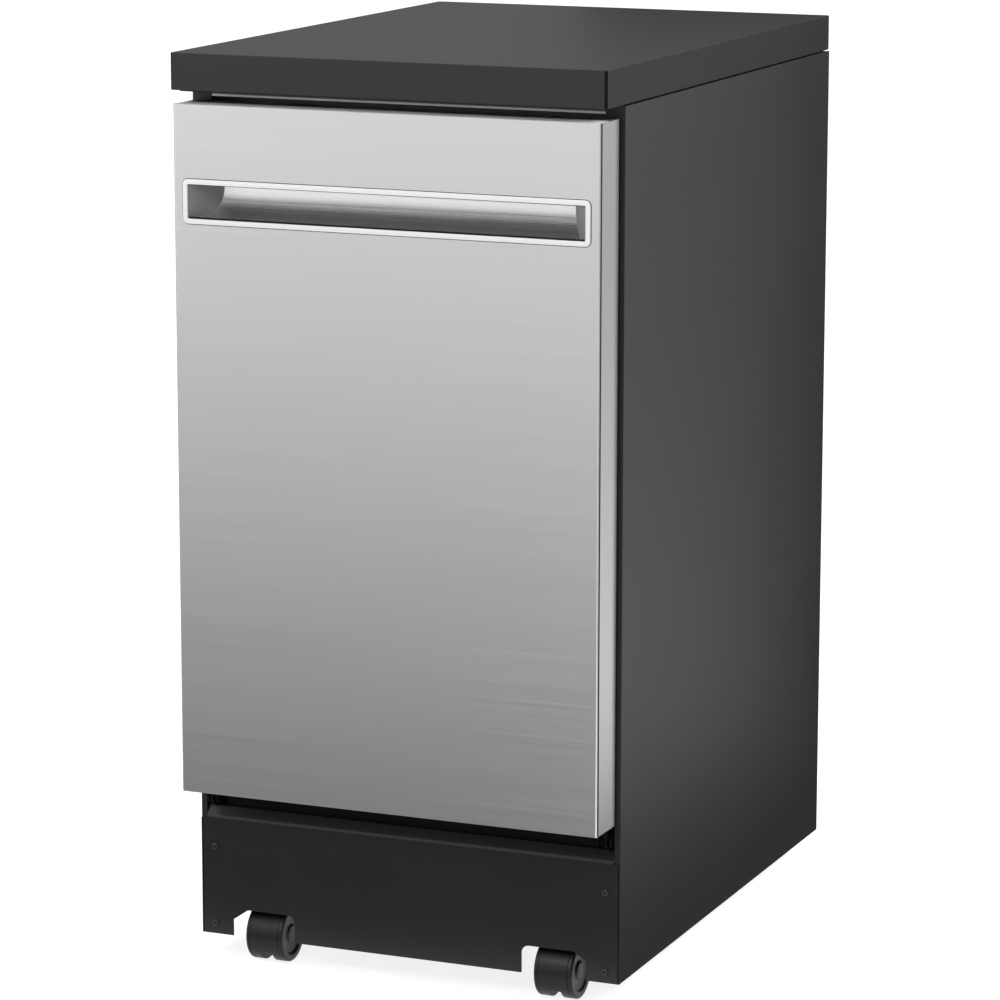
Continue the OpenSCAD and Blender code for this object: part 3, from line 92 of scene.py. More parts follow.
# %% [markdown]
# ## Finishes
# A painted or moulded surface is never one flat colour. Powder coat has a fine pebbled skin
# that breaks up highlights, brushed steel has thousands of hair lines that stretch them
# across the grain, and a moulded plastic is finely matted by its tool. Each finish below is
# a small node network: a noise in the object's own coordinates changes colour and gloss by
# a few percent, and the same or a second noise tilts the surface through a bump. The scale
# of a noise is in turns per metre, so a scale of 900 makes grains about a millimetre wide.
# A noise rarely leaves the middle of its range, so only that middle is used. Numbers that
# are the same all over a piece, such as the metallic share, are set straight on the shader.

# %% Helpers for the finishes
finishes = {}
NOISE_SPAN = (0.3, 0.7)


def new_finish(name, colour, rough, metallic=0.0):
    """A material and its shader, set to one plain colour. It is kept in finishes."""
    finish = bpy.data.materials.new(name)
    finish.use_nodes = True
    shader = finish.node_tree.nodes["Principled BSDF"]
    shader.inputs["Base Color"].default_value = (*colour, 1)
    shader.inputs["Roughness"].default_value = rough
    shader.inputs["Metallic"].default_value = metallic
    finishes[name] = finish
    return finish, shader


def node(finish, kind, **settings):
    """Adds a shader node, with its settings and input values given by name."""
    made = finish.node_tree.nodes.new(kind)
    for key, value in settings.items():
        if hasattr(made, key):
            setattr(made, key, value)
        else:
            made.inputs[key.replace("_", " ")].default_value = value
    return made


def join(finish, source, target):
    """Links an output socket to an input socket."""
    finish.node_tree.links.new(source, target)


def mapped(finish, source, span, result):
    """Maps a value from span to result, both as (from, to). Returns the new output."""
    level = node(finish, "ShaderNodeMapRange")
    for key, value in zip(("From Min", "From Max", "To Min", "To Max"), (*span, *result)):
        level.inputs[key].default_value = value
    join(finish, source, level.inputs["Value"])
    return level.outputs["Result"]


def stretched_noise(finish, scale, detail=4.0):
    """A noise whose grains are 1/scale long along each of the object's axes."""
    place = node(finish, "ShaderNodeTexCoord")
    grid = node(finish, "ShaderNodeMapping")
    grid.inputs["Scale"].default_value = scale
    noise = node(finish, "ShaderNodeTexNoise", Scale=1.0, Detail=detail)
    join(finish, place.outputs["Object"], grid.inputs["Vector"])
    join(finish, grid.outputs["Vector"], noise.inputs["Vector"])
    return noise


def mottle(finish, shader, noise, colour, spread):
    """Lets the colour wander by spread, as a share of it, with the noise."""
    ramp = node(finish, "ShaderNodeValToRGB")
    for element, place, share in zip(ramp.color_ramp.elements, NOISE_SPAN, (1 - spread, 1 + spread)):
        element.position = place
        element.color = (*(min(1, c * share) for c in colour), 1)
    join(finish, noise.outputs["Fac"], ramp.inputs["Fac"])
    join(finish, ramp.outputs["Color"], shader.inputs["Base Color"])


def vary_rough(finish, shader, noise, low, high):
    """Lets the roughness run from low to high with the noise."""
    gloss = mapped(finish, noise.outputs["Fac"], NOISE_SPAN, (low, high))
    join(finish, gloss, shader.inputs["Roughness"])


def emboss(finish, shader, noise, height):
    """Tilts the surface by the slopes of the noise, height metres high."""
    bump = node(finish, "ShaderNodeBump", Strength=1.0, Distance=height)
    join(finish, noise.outputs["Fac"], bump.inputs["Height"])
    join(finish, bump.outputs["Normal"], shader.inputs["Normal"])


print("finish helpers ready")

# %% [markdown]
# ### Powder coat
# The cabinet's sheets are powder coated: the paint is baked from dust, and it dries with a
# pebbled skin like an orange's. A fine noise as bump gives that skin, and a broad one, a
# hand wide, lets the gloss wander, because no sheet is ever painted evenly. A low
# roughness would mirror the room, so the coat sits between satin and matte. The colours are
# far darker than they look in a photo: most of what the eye gets from black paint is gloss.

# %% Powder coat


def powder_coat(name, colour, rough, pebble=0.04 * mm, gloss=0.12):
    """Baked paint with pebbles of the given height."""
    finish, shader = new_finish(name, colour, rough)
    shader.inputs["Specular IOR Level"].default_value = gloss
    skin = stretched_noise(finish, (900, 900, 900), detail=2)
    cloud = stretched_noise(finish, (9, 9, 9), detail=3)
    mottle(finish, shader, cloud, colour, 0.04)
    vary_rough(finish, shader, cloud, rough - 0.012, rough + 0.012)
    emboss(finish, shader, skin, pebble)


powder_coat("cabinet_steel", (0.011, 0.011, 0.0113), 0.42, gloss=0.35)
powder_coat("kick_steel", (0.0095, 0.0095, 0.0098), 0.36, gloss=0.38)
powder_coat("frame_steel", (0.004, 0.004, 0.0042), 0.55, gloss=0.05)
powder_coat("screw_black", (0.018, 0.018, 0.0185), 0.38, pebble=0.01 * mm, gloss=0.3)
powder_coat("heater_dark", (0.09, 0.085, 0.08), 0.45, pebble=0.02 * mm)
print("powder coats:", len(finishes))

# %% [markdown]
# ### Laminate
# The worktop is chipboard pressed between sheets of dark laminate. Its face is printed
# paper under resin with a finely pored surface, more matte than the paint below it. Two
# noises do it: pores under a millimetre wide as bump, and a faint long streak in colour.
# The edge band on the sides is a duller strip whose streak runs from front to back, and it
# is darker than the face as a painted shade. The resin that oozes out where two bands meet
# dries almost black.

# %% Laminate


def laminate(name, colour, rough, gloss, stretch, spread=0.05, detail=5.0):
    """Printed paper under resin, with a streak in its colour. Returns finish and shader."""
    finish, shader = new_finish(name, colour, rough)
    shader.inputs["Specular IOR Level"].default_value = gloss
    mottle(finish, shader, stretched_noise(finish, stretch, detail=detail), colour, spread)
    return finish, shader


top_face, shader = laminate("worktop_laminate", (0.015, 0.015, 0.0153), 0.5, 0.3, (14, 40, 40))
pores = stretched_noise(top_face, (1400, 1400, 1400), detail=3)
vary_rough(top_face, shader, pores, 0.46, 0.56)
emboss(top_face, shader, pores, 0.03 * mm)
# Painted shade: the side band is darker than the face of the board.
laminate("laminate_edge_shade", (0.0125, 0.0125, 0.0128), 0.55, 0.16, (40, 14, 40))
laminate("laminate_seam", (0.004, 0.004, 0.004), 0.8, 0.05, (60, 60, 14), spread=0.2, detail=4.0)
print("laminates made, finishes so far:", len(finishes))

# %% [markdown]
# ### Brushed and drawn metal
# A brushing belt runs along one direction and leaves hair lines. Stretching a noise along
# that direction, long and a fraction of a millimetre thin, gives the lines; as colour they
# show faintly, and as roughness and bump they smear highlights across the grain. The
# door's lines run from side to side. Where the sheet is folded back at the sides, those
# faces take less of the colour: a painted shade that keeps the folded sides darker.
# Plated and drawn parts use the same network with other stretches. The springs are the
# exception: they are painted near black and not metallic, a painted shade that keeps them
# as dark as the recess they stand in.

# %% Brushed and plated metal


def brushed(name, colour, rough, stretch, spread=0.04, height=0.004 * mm, metallic=1.0, gloss=0.5):
    """Metal with hair lines along the axis with the small stretch. Returns the finish."""
    finish, shader = new_finish(name, colour, rough, metallic)
    shader.inputs["Specular IOR Level"].default_value = gloss
    hairs = stretched_noise(finish, stretch, detail=5)
    mottle(finish, shader, hairs, colour, spread)
    vary_rough(finish, shader, hairs, rough - 0.05, rough + 0.05)
    emboss(finish, shader, hairs, height)
    return finish


def paint_fold_shade(finish, share):
    """Paints shade on the folded sides: multiplies the colour by share on the faces that look sideways."""
    shader = finish.node_tree.nodes["Principled BSDF"]
    colour = shader.inputs["Base Color"].links[0].from_socket
    place = node(finish, "ShaderNodeTexCoord")
    parts = node(finish, "ShaderNodeSeparateXYZ")
    size = node(finish, "ShaderNodeMath", operation="ABSOLUTE")
    scaled = node(finish, "ShaderNodeVectorMath", operation="SCALE")
    join(finish, place.outputs["Normal"], parts.inputs["Vector"])
    join(finish, parts.outputs["X"], size.inputs[0])
    join(finish, colour, scaled.inputs[0])
    join(finish, mapped(finish, size.outputs["Value"], (0.6, 0.95), (1, share)), scaled.inputs["Scale"])
    join(finish, scaled.outputs["Vector"], shader.inputs["Base Color"])


ALONG_X = (3, 2600, 2600)
ALONG_Z = (2600, 2600, 3)
# The door's folded sides take a painted shade: 0.82 of the steel's colour.
paint_fold_shade(brushed("door_steel", (0.68, 0.68, 0.685), 0.34, ALONG_X), 0.82)
brushed("bezel_silver", (0.97, 0.97, 0.97), 0.28, ALONG_X, spread=0.01, height=0.002 * mm)
brushed("grip_steel", (0.9, 0.9, 0.905), 0.3, ALONG_X, spread=0.02, height=0.0008 * mm)
brushed("tub_steel", (0.66, 0.66, 0.665), 0.24, ALONG_Z, spread=0.03)
brushed("galvanised", (0.48, 0.49, 0.5), 0.4, (60, 60, 60), spread=0.12)
# Painted shade: the springs are near black and not metallic, so they stay as dark as their recess.
brushed("spring_steel", (0.004, 0.004, 0.004), 0.7, (700, 700, 700), spread=0.08, metallic=0.0, gloss=0.1)
brushed("screw_steel", (0.6, 0.6, 0.6), 0.28, (900, 900, 900), spread=0.05)
brushed("brass", (0.72, 0.52, 0.22), 0.3, (2000, 60, 2000), spread=0.08)
print("metals made, finishes so far:", len(finishes))

# %% [markdown]
# ### Moulded plastic and rubber
# A moulded part copies its tool's surface. Sparked steel gives a fine even matte, polished
# steel gives gloss. One function covers both, with the grain's depth and the gloss as its
# sizes. Rubber is the same thing, rougher and with a soft sheen at grazing angles. The
# rack's coating is a thick nylon skin over wire, so it is smoother and slightly waxy. The
# same matte serves for painted light and shade round the door: the grip's ends and ceiling
# and the bar above the door are painted shade, the band on the top edge is a painted light,
# the dark lines in the door's folds are a painted dark reflection, and the line at the
# grip's foot is a dark joint.

# %% Plastics and rubber


def moulded(name, colour, rough, grain=0.02 * mm, sheen=0.0, gloss=0.5):
    """Plastic or rubber whose tool left a grain of the given depth."""
    finish, shader = new_finish(name, colour, rough)
    shader.inputs["Specular IOR Level"].default_value = gloss
    shader.inputs["Sheen Weight"].default_value = sheen
    spark = stretched_noise(finish, (1800, 1800, 1800), detail=2)
    flow = stretched_noise(finish, (25, 25, 25), detail=3)
    mottle(finish, shader, flow, colour, 0.05)
    vary_rough(finish, shader, flow, rough - 0.04, rough + 0.04)
    emboss(finish, shader, spark, grain)


moulded("panel_black", (0.055, 0.055, 0.056), 0.45, grain=0.01 * mm)
moulded("button_dark", (0.02, 0.02, 0.021), 0.4)
moulded("grey_plastic", (0.3, 0.31, 0.32), 0.42)
moulded("pale_plastic", (0.66, 0.67, 0.67), 0.4)
moulded("basket_plastic", (0.2, 0.235, 0.28), 0.42)
moulded("pump_grey", (0.09, 0.095, 0.1), 0.5)
moulded("valve_blue", (0.03, 0.11, 0.3), 0.4)
moulded("rack_coating", (0.4, 0.43, 0.46), 0.33, grain=0.01 * mm)
moulded("caster_plastic", (0.005, 0.005, 0.0053), 0.4, gloss=0.28)
moulded("caster_tread", (0.005, 0.005, 0.0053), 0.4, gloss=0.28)
moulded("bay_plastic", (0.015, 0.015, 0.016), 0.45)
# Painted shade: the grip's ends and ceiling are matt greys, darker than the steel of the pocket they belong
# to.
moulded("grip_end_shade", (0.18, 0.18, 0.182), 0.55)
moulded("grip_shade", (0.05, 0.05, 0.05), 0.6)
# Painted light: the band on the door's top edge is a paler matt grey than the steel.
moulded("door_edge_painted_light", (0.56, 0.56, 0.562), 0.5)
# Painted shade: a dull grey for the bar over the door, in place of its bright zinc.
moulded("bar_grey_shade", (0.2, 0.2, 0.202), 0.5)
# A painted dark reflection for the strips in the door's folds, and also the dark joint at the grip's foot.
moulded("fold_dark_reflection_and_joint", (0.012, 0.012, 0.012), 0.6, gloss=0.1)
moulded("seal_rubber", (0.02, 0.02, 0.021), 0.6, sheen=0.3)
print("plastics made, finishes so far:", len(finishes))

# %% [markdown]
# ### Display window and circuit board
# The display sits behind a smoked window: dark, glossy and slightly blue. It stays opaque,
# because nothing behind it is lit. The board under it is green solder mask over copper
# tracks. A noise would look random there, so the tracks come from a wave whose bands run
# across the board, cut off sharply where the copper ends.

# %% Window and board
SMOKE = (0.03, 0.045, 0.1)
smoked, shader = new_finish("window_smoke", SMOKE, 0.12)
shader.inputs["Coat Weight"].default_value = 0.6
mottle(smoked, shader, stretched_noise(smoked, (60, 60, 60), detail=2), SMOKE, 0.15)

board, shader = new_finish("board_green", (0.02, 0.12, 0.05), 0.35)
place = node(board, "ShaderNodeTexCoord")
tracks = node(board, "ShaderNodeTexWave", Scale=120.0, Distortion=2.0, Detail=1.0)
lines = node(board, "ShaderNodeValToRGB")
lines.color_ramp.interpolation = "CONSTANT"
lines.color_ramp.elements[0].color = (0.015, 0.1, 0.04, 1)
lines.color_ramp.elements[1].position = 0.72
lines.color_ramp.elements[1].color = (0.05, 0.22, 0.08, 1)
join(board, place.outputs["Object"], tracks.inputs["Vector"])
join(board, tracks.outputs["Fac"], lines.inputs["Fac"])
join(board, lines.outputs["Color"], shader.inputs["Base Color"])
print("all finishes:", sorted(finishes))

# %% [markdown]
# ## Dressing the CAD parts
# The record names a material slot for every part. Most parts already have the right shape:
# wires, springs, pressed sheets and moulded housings. They keep their solid, and only get
# the finish of their slot. Three stand deep in the gaps round the door, where bright zinc
# would catch light that the gaps of the real machine swallow, so they are painted darker as
# painted shade: the hinge brackets and arms get the frame's black, and the bar over the door
# a dull grey.

# %% Finishes on the CAD parts
slot_of = {part["node"]: part["material_slot"] for part in frame["record"]["subparts"]}
# Painted shade: the hinge parts take the frame's black and the bar a dull grey, darker than their zinc.
slot_of.update(hinge_brackets="frame_steel", hinge_arms="frame_steel", top_crossbar="bar_grey_shade")
for name, part in frame["nodes"].items():
    part.data.materials.clear()
    part.data.materials.append(finishes[slot_of[name]])
print("dressed", len(slot_of), "CAD parts")

# %% [markdown]
# ## Tools for the finer pieces
# The pieces below are built as meshes from a few sizes. Three ways cover most of them: a
# turned piece is a profile spun about an axis, as on a lathe; a cut piece is an outline
# pushed along one axis; and a ring is the space between two outlines. Real edges are never
# knife sharp, so a piece can ask for a small bevel on all its sharp edges. Flat faces keep
# their flat look because the normals are weighted by face size.

# %% Helpers for the meshes
SHARP = math.radians(35)
SAME_SPOT = 1e-7


def add_piece(name, mesh, slot, body, stands_for=(), finish=None, bevel=0.0, steps=3):
    """Puts a mesh in the scene as a piece that rides on a body, with its finish."""
    piece = bpy.data.objects.new(name, mesh)
    scene.collection.objects.link(piece)
    mesh.materials.append(finishes[finish or slot])
    mesh.shade_smooth()
    if bevel:
        ease = piece.modifiers.new("eased edges", "BEVEL")
        ease.width = bevel
        ease.segments = steps
        ease.limit_method = "ANGLE"
        ease.angle_limit = SHARP
    else:
        mesh.set_sharp_from_angle(angle=SHARP)
    level = piece.modifiers.new("flat faces stay flat", "WEIGHTED_NORMAL")
    level.keep_sharp = True
    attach(piece, body)
    if stands_for:
        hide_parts(*stands_for)
    return piece


def mesh_of(name, corners, faces):
    """A mesh from its corners and faces, with every face turned outwards."""
    mesh = bpy.data.meshes.new(name)
    mesh.from_pydata([tuple(c) for c in corners], [], faces)
    maker = bmesh.new()
    maker.from_mesh(mesh)
    bmesh.ops.remove_doubles(maker, verts=maker.verts, dist=SAME_SPOT)
    bmesh.ops.recalc_face_normals(maker, faces=maker.faces)
    maker.to_mesh(mesh)
    maker.free()
    return mesh


def arc(centre, radius, start, end, steps):
    """Points on an arc, angles in degrees, both ends included."""
    turns = [math.radians(start + (end - start) * i / steps) for i in range(steps + 1)]
    return [(centre[0] + radius * math.cos(t), centre[1] + radius * math.sin(t)) for t in turns]


def round_outline(x0, y0, x1, y1, radius, steps=8):
    """A rectangle with round corners, as points in order."""
    corners = [((x1 - radius, y1 - radius), 0), ((x0 + radius, y1 - radius), 90),
               ((x0 + radius, y0 + radius), 180), ((x1 - radius, y0 + radius), 270)]
    return [p for c, turn in corners for p in arc(c, radius, turn, turn + 90, steps)]


def pushed(name, outline, start, end, axis):
    """A solid from an outline pushed from start to end along x, y or z.
    The outline's two numbers are y and z for x, x and z for y, and x and y for z."""
    place = {"x": lambda p, d: (d, p[0], p[1]), "y": lambda p, d: (p[0], d, p[1]),
             "z": lambda p, d: (p[0], p[1], d)}[axis]
    count = len(outline)
    corners = [place(p, d) for d in (start, end) for p in outline]
    sides = [(i, (i + 1) % count, (i + 1) % count + count, i + count) for i in range(count)]
    return mesh_of(name, corners, sides + [tuple(range(count)), tuple(range(count, 2 * count))])


def block(name, x0, x1, y0, y1, z0, z1):
    """A box between its lowest and highest x, y and z."""
    return pushed(name, [(y0, z0), (y0, z1), (y1, z1), (y1, z0)], x0, x1, "x")


def ring(name, outer, inner, front, back):
    """The solid between two outlines in x and z with equally many points, front to back."""
    count = len(outer)
    corners = [(x, y, z) for y in (front, back) for loop in (outer, inner) for x, z in loop]
    faces = []
    for i in range(count):
        k = (i + 1) % count
        for a, b in ((0, 1), (2, 3), (0, 2), (1, 3)):
            faces.append((a * count + i, a * count + k, b * count + k, b * count + i))
    return mesh_of(name, corners, faces)


def turned(name, profile, centre, axis, steps):
    """A solid of revolution about x or z, from a closed profile of (radius, distance along it).
    Where the profile runs on the axis itself there is no face."""
    turn = Matrix.Rotation(math.radians(90), 3, "Y") if axis == "x" else Matrix.Identity(3)
    corners = []
    for i in range(steps):
        angle = 2 * math.pi * i / steps
        for radius, along in profile:
            spot = Vector((radius * math.cos(angle), radius * math.sin(angle), along))
            corners.append(turn @ spot + Vector(centre))
    count = len(profile)
    faces = []
    for i in range(steps):
        here, there = i * count, (i + 1) % steps * count
        for j in range(count):
            k = (j + 1) % count
            if profile[j][0] or profile[k][0]:
                faces.append((here + j, here + k, there + k, there + j))
    return mesh_of(name, corners, faces)


def smoothed(profile, steps=4):
    """Rounds a closed profile of (radius, distance, size of the rounding) by short curves."""
    spots = [Vector(corner[:2]) for corner in profile]
    result = []
    for i, (here, corner) in enumerate(zip(spots, profile)):
        size = corner[2]
        if not size:
            result.append(tuple(here))
            continue
        before, after = spots[i - 1], spots[(i + 1) % len(spots)]
        start = here + (before - here).normalized() * min(size, (before - here).length / 2)
        end = here + (after - here).normalized() * min(size, (after - here).length / 2)
        for s in range(steps + 1):
            t = s / steps
            result.append(tuple(start * (1 - t) ** 2 + here * 2 * t * (1 - t) + end * t * t))
    return result


def joined(name, *meshes):
    """One mesh out of several."""
    maker = bmesh.new()
    for mesh in meshes:
        maker.from_mesh(mesh)
        bpy.data.meshes.remove(mesh)
    result = bpy.data.meshes.new(name)
    maker.to_mesh(result)
    maker.free()
    return result


print("mesh helpers ready")

# %% [markdown]
# ## The worktop
# The top is a laminated board that overhangs the front. It sits on a narrower core, which
# leaves a dark shadow line over the side panels. The board is an outline with small round
# corners, pushed up by its thickness, and its edges are eased by less than a millimetre:
# any more would look like plastic, any less would give no highlight at all. The faces of
# the round corners take the dark resin seam, where two strips of the edge band meet, and
# the faces to the left and right take the duller edge band, darker as a painted shade.

# %% Worktop
low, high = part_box("worktop")
BOARD_H = 36 * mm
CORE_INSET = 6 * mm
CORNER = 3 * mm
SEAM, EDGE = 1, 2
board_z = high.z - BOARD_H
top_board = pushed("board", round_outline(low.x, low.y, high.x, high.y, CORNER), board_z, high.z, "z")
core_outline = round_outline(low.x + CORE_INSET, low.y + CORE_INSET,
                             high.x - CORE_INSET, high.y - CORE_INSET, CORNER)
core = pushed("core", core_outline, low.z, board_z, "z")
worktop = add_piece("worktop_board", joined("worktop_board", top_board, core),
                    "worktop_laminate", "cabinet", ["worktop"], bevel=0.8 * mm)
worktop.data.materials.append(finishes["laminate_seam"])
worktop.data.materials.append(finishes["laminate_edge_shade"])
for face in worktop.data.polygons:
    if abs(face.normal.x) > 0.1 and abs(face.normal.y) > 0.1:
        face.material_index = SEAM
    elif abs(face.normal.x) > 0.9:
        face.material_index = EDGE
print("worktop", [round(v, 3) for v in worktop.dimensions])

# %% [markdown]
# ## The grip in the door
# A hand reaches into a pocket below the door's top edge. On the real door one pressed and
# brushed part makes the pocket: a scoop that falls steeply at the back and runs out to the
# front, with end walls that lean in. Its section is a curve a little fuller than a quarter
# ellipse: both the cosine and the sine are raised to a power below one. The scoop is a
# strip of quads along that curve, so its shading runs smoothly from the bright top to the
# dark foot, where it only mirrors its own ceiling. A satin frame around it covers the cut
# edge of the door skin, with a dark joint where it presses on the skin. At the foot of the
# scoop a dark line shows where its sheet meets the frame. The opening follows from the box
# of the CAD part and the width of the frame.

# %% Grip pocket
bezel_low, bezel_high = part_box("handle_bezel")
FRAME_W = 5 * mm
PROUD = 1 * mm
POCKET_DEEP = 34 * mm
END_LEAN = 23 * mm
FULLNESS = 0.76
SCOOP_STEPS = 28
POCKET_SHEET = 1.2 * mm
SHADE, END = 1, 2
left, right = bezel_low.x + FRAME_W, bezel_high.x - FRAME_W
sill, lintel = bezel_low.z + FRAME_W, bezel_high.z - FRAME_W
skin_y = bezel_low.y + PROUD


def scoop():
    """The pocket's inner surface: the scoop, then its ceiling, then its two ends."""
    corners = []
    for i in range(SCOOP_STEPS + 1):
        turn = math.radians(90 * i / SCOOP_STEPS)
        deep = POCKET_DEEP * math.cos(turn) ** FULLNESS
        inset = END_LEAN * deep / POCKET_DEEP
        z = lintel - (lintel - sill) * math.sin(turn) ** FULLNESS
        corners += [(left + inset, skin_y + deep, z), (right - inset, skin_y + deep, z)]
    faces = [(2 * i, 2 * i + 1, 2 * i + 3, 2 * i + 2) for i in range(SCOOP_STEPS)]
    corners += [(left, skin_y, lintel), (right, skin_y, lintel)]
    top_left, top_right = len(corners) - 2, len(corners) - 1
    faces.append((0, 1, top_right, top_left))
    faces.append((top_left, *range(0, top_left, 2)))
    faces.append((top_right, *range(1, top_left, 2)))
    mesh = bpy.data.meshes.new("grip_scoop")
    mesh.from_pydata(corners, [], faces)
    return mesh


pocket = add_piece("grip_scoop", scoop(), "bezel_silver", "door", finish="grip_steel")
# The ceiling and the two ends take painted shade, in matt greys darker than the scoop's steel.
pocket.data.materials.append(finishes["grip_shade"])
pocket.data.materials.append(finishes["grip_end_shade"])
for face, part in zip(list(pocket.data.polygons)[-3:], (SHADE, END, END)):
    face.material_index = part
sheet = pocket.modifiers.new("sheet", "SOLIDIFY")
sheet.thickness = POCKET_SHEET
sheet.offset = 1
pocket.modifiers.move(1, 0)
# The scoop is shaded smoothly from quad to quad, and stays sharp at its ceiling and ends.
for edge in pocket.data.edges:
    a, b = (pocket.data.vertices[v].co for v in edge.vertices)
    on_ceiling = abs(a.z - lintel) < 1e-6 and abs(b.z - lintel) < 1e-6
    on_end = abs(a.x - b.x) < 100 * mm
    edge.use_edge_sharp = on_ceiling or on_end
print("grip opening", round((right - left) / mm, 1), "x", round((lintel - sill) / mm, 1), "mm")

# %% Frame of the grip, its joint and its lip
FRAME_CORNER = 5.5 * mm
OPENING_CORNER = 1.2 * mm
JOINT = 0.7 * mm
LIP_IN = 1 * mm


def grip_outline(inset, radius):
    """The outline of the CAD part's box in x and z, made smaller by inset all round."""
    return round_outline(bezel_low.x + inset, bezel_low.z + inset,
                         bezel_high.x - inset, bezel_high.z - inset, radius)


grip_frame = ring("grip_frame", grip_outline(0, FRAME_CORNER), grip_outline(FRAME_W, OPENING_CORNER),
                  bezel_low.y, skin_y + 0.4 * mm)
add_piece("grip_frame", grip_frame, "bezel_silver", "door", ["handle_bezel"], bevel=0.15 * mm, steps=2)
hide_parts("handle_bezel")
grip_gap = ring("grip_gap", grip_outline(-JOINT, FRAME_CORNER + JOINT),
                grip_outline(JOINT, FRAME_CORNER - JOINT), skin_y - 0.15 * mm, skin_y + 0.3 * mm)
add_piece("grip_gap", grip_gap, "seal_rubber", "door")
lip = block("grip_lip", left + LIP_IN, right - LIP_IN, skin_y + 0.3 * mm, skin_y + 0.9 * mm,
            sill - 0.3 * mm, sill + 1.8 * mm)
add_piece("grip_lip", lip, "seal_rubber", "door", finish="fold_dark_reflection_and_joint")
print("frame", round(FRAME_W / mm, 1), "mm wide, joint", round(JOINT / mm, 1), "mm to each side of its edge")

# %% [markdown]
# ## Casters
# Each caster is a moulded housing between two wheels. The wheels are turned profiles with
# soft rims and a dished hub. The profile's corners are rounded by short curves, so that the
# rim takes one bright line and the tread stays plain, apart from the fine groove where the
# tread meets the wheel's cheek. Each row of the profile is one corner: its radius, its
# distance from the wheel's inner face, and how far the corner is rounded.

# %% Wheels
WHEEL_R = 28 * mm
WHEEL_W = 13 * mm
AXLE_R = 3 * mm
GAP = 14 * mm
GROOVE = WHEEL_W - 4.2 * mm
HUB_W = WHEEL_W - 1.2 * mm
WHEEL_PROFILE = [
    (AXLE_R, 0, 0),
    (WHEEL_R, 0, 0),
    (WHEEL_R, GROOVE - 0.5 * mm, 0.1 * mm),
    (WHEEL_R - 0.6 * mm, GROOVE - 0.25 * mm, 0.1 * mm),
    (WHEEL_R, GROOVE, 0.1 * mm),
    (WHEEL_R, WHEEL_W, 3 * mm),
    (WHEEL_R - 6.5 * mm, WHEEL_W, 1.5 * mm),
    (WHEEL_R - 9 * mm, WHEEL_W - 2.2 * mm, 1.5 * mm),
    (10 * mm, WHEEL_W - 3 * mm, 1.5 * mm),
    (8 * mm, HUB_W, 1 * mm),
    (AXLE_R, HUB_W, 0),
]
CASTERS = ("front_left", "front_right", "rear_left", "rear_right")


def wheel(name, centre, side):
    """One wheel, its inner face GAP / 2 from the middle of the caster."""
    profile = [(r, side * (GAP / 2 + along)) for r, along in smoothed(WHEEL_PROFILE)]
    return turned(name, profile, centre, "x", steps=72)


for caster in CASTERS:
    low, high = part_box("wheels_" + caster)
    middle = (low + high) / 2
    pair = joined("wheel_pair_" + caster, wheel("a", middle, -1), wheel("b", middle, 1))
    add_piece("wheel_pair_" + caster, pair, "caster_tread", "wheels_" + caster, ["wheels_" + caster])
    print("wheels at", [round(v, 3) for v in middle])

# %% [markdown]
# ### Housings
# The housing's round front is level with the treads, so from the front the three look like
# one drum; only low down, where the housing ends, the gap between the wheels shows. It is
# a disc cut off level below the axle, with a block of a neck at the back. The stem stands
# behind the axle by the trail, which is what makes a caster follow its load. On top of the
# neck sits a round boss, and through the wheels goes a pin with a flat head at each end.

# %% Housings
FREE = 0.02 * mm
HOOD_R = WHEEL_R - FREE
HOOD_HALF = GAP / 2 - FREE
NOTCH_Z = 11 * mm
NECK_HALF, NECK_H = 9 * mm, 32 * mm
TRAIL = 18 * mm
BOSS_R, BOSS_FOOT = 11.5 * mm, 31 * mm
STEM_R, STEM_H, STEM_TIP = 5.5 * mm, 31 * mm, 1 * mm
PIN_END = [(0, 19 * mm), (4.2 * mm, 19 * mm), (5 * mm, 18.4 * mm), (5 * mm, 18 * mm), (AXLE_R, 18 * mm)]


def housing(name, axle, stem_y, top):
    """The hood between the wheels with its neck, the stem above it and the axle pin."""
    dip = math.degrees(math.asin((axle.z - NOTCH_Z) / HOOD_R))
    sides = (axle.x - HOOD_HALF, axle.x + HOOD_HALF)
    hood = pushed("hood", arc((axle.y, axle.z), HOOD_R, -dip, 180 + dip, 40), *sides, "x")
    neck = block("neck", *sides, stem_y - NECK_HALF, stem_y + NECK_HALF, axle.z, axle.z + NECK_H)
    boss_z = axle.z + BOSS_FOOT
    stem_profile = [(0, boss_z), (BOSS_R, boss_z), (BOSS_R, top - STEM_H - STEM_TIP), (STEM_R, top - STEM_H),
                    (STEM_R, top - STEM_TIP), (STEM_R - STEM_TIP, top), (0, top)]
    stem = turned("stem", stem_profile, (axle.x, stem_y, 0), "z", steps=48)
    pin_profile = [(radius, -along) for radius, along in PIN_END] + PIN_END[::-1]
    pin = turned("pin", pin_profile, axle, "x", steps=32)
    return joined(name, hood, neck, stem, pin)


for caster in CASTERS:
    low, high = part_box("wheels_" + caster)
    axle = (low + high) / 2
    low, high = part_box("caster_" + caster)
    mesh = housing("caster_housing_" + caster, axle, axle.y + TRAIL, high.z)
    add_piece("caster_housing_" + caster, mesh, "caster_plastic", "caster_" + caster, ["caster_" + caster],
              bevel=0.4 * mm)
print("housings with hoods of", round(HOOD_R / mm, 1), "mm radius")

# %% [markdown]
# ## The kickplate
# The kickplate is one pressed sheet. Each cut-out for a caster has a slanted outer corner
# and a round inner one. The top edge leans back: the sheet bends over a radius of seven
# millimetres and then runs on straight. The bend takes a soft line of light along its whole
# length, and for that it needs a smooth arc of a dozen short steps. At both ends a dark
# joint parts the kickplate from the side panels.

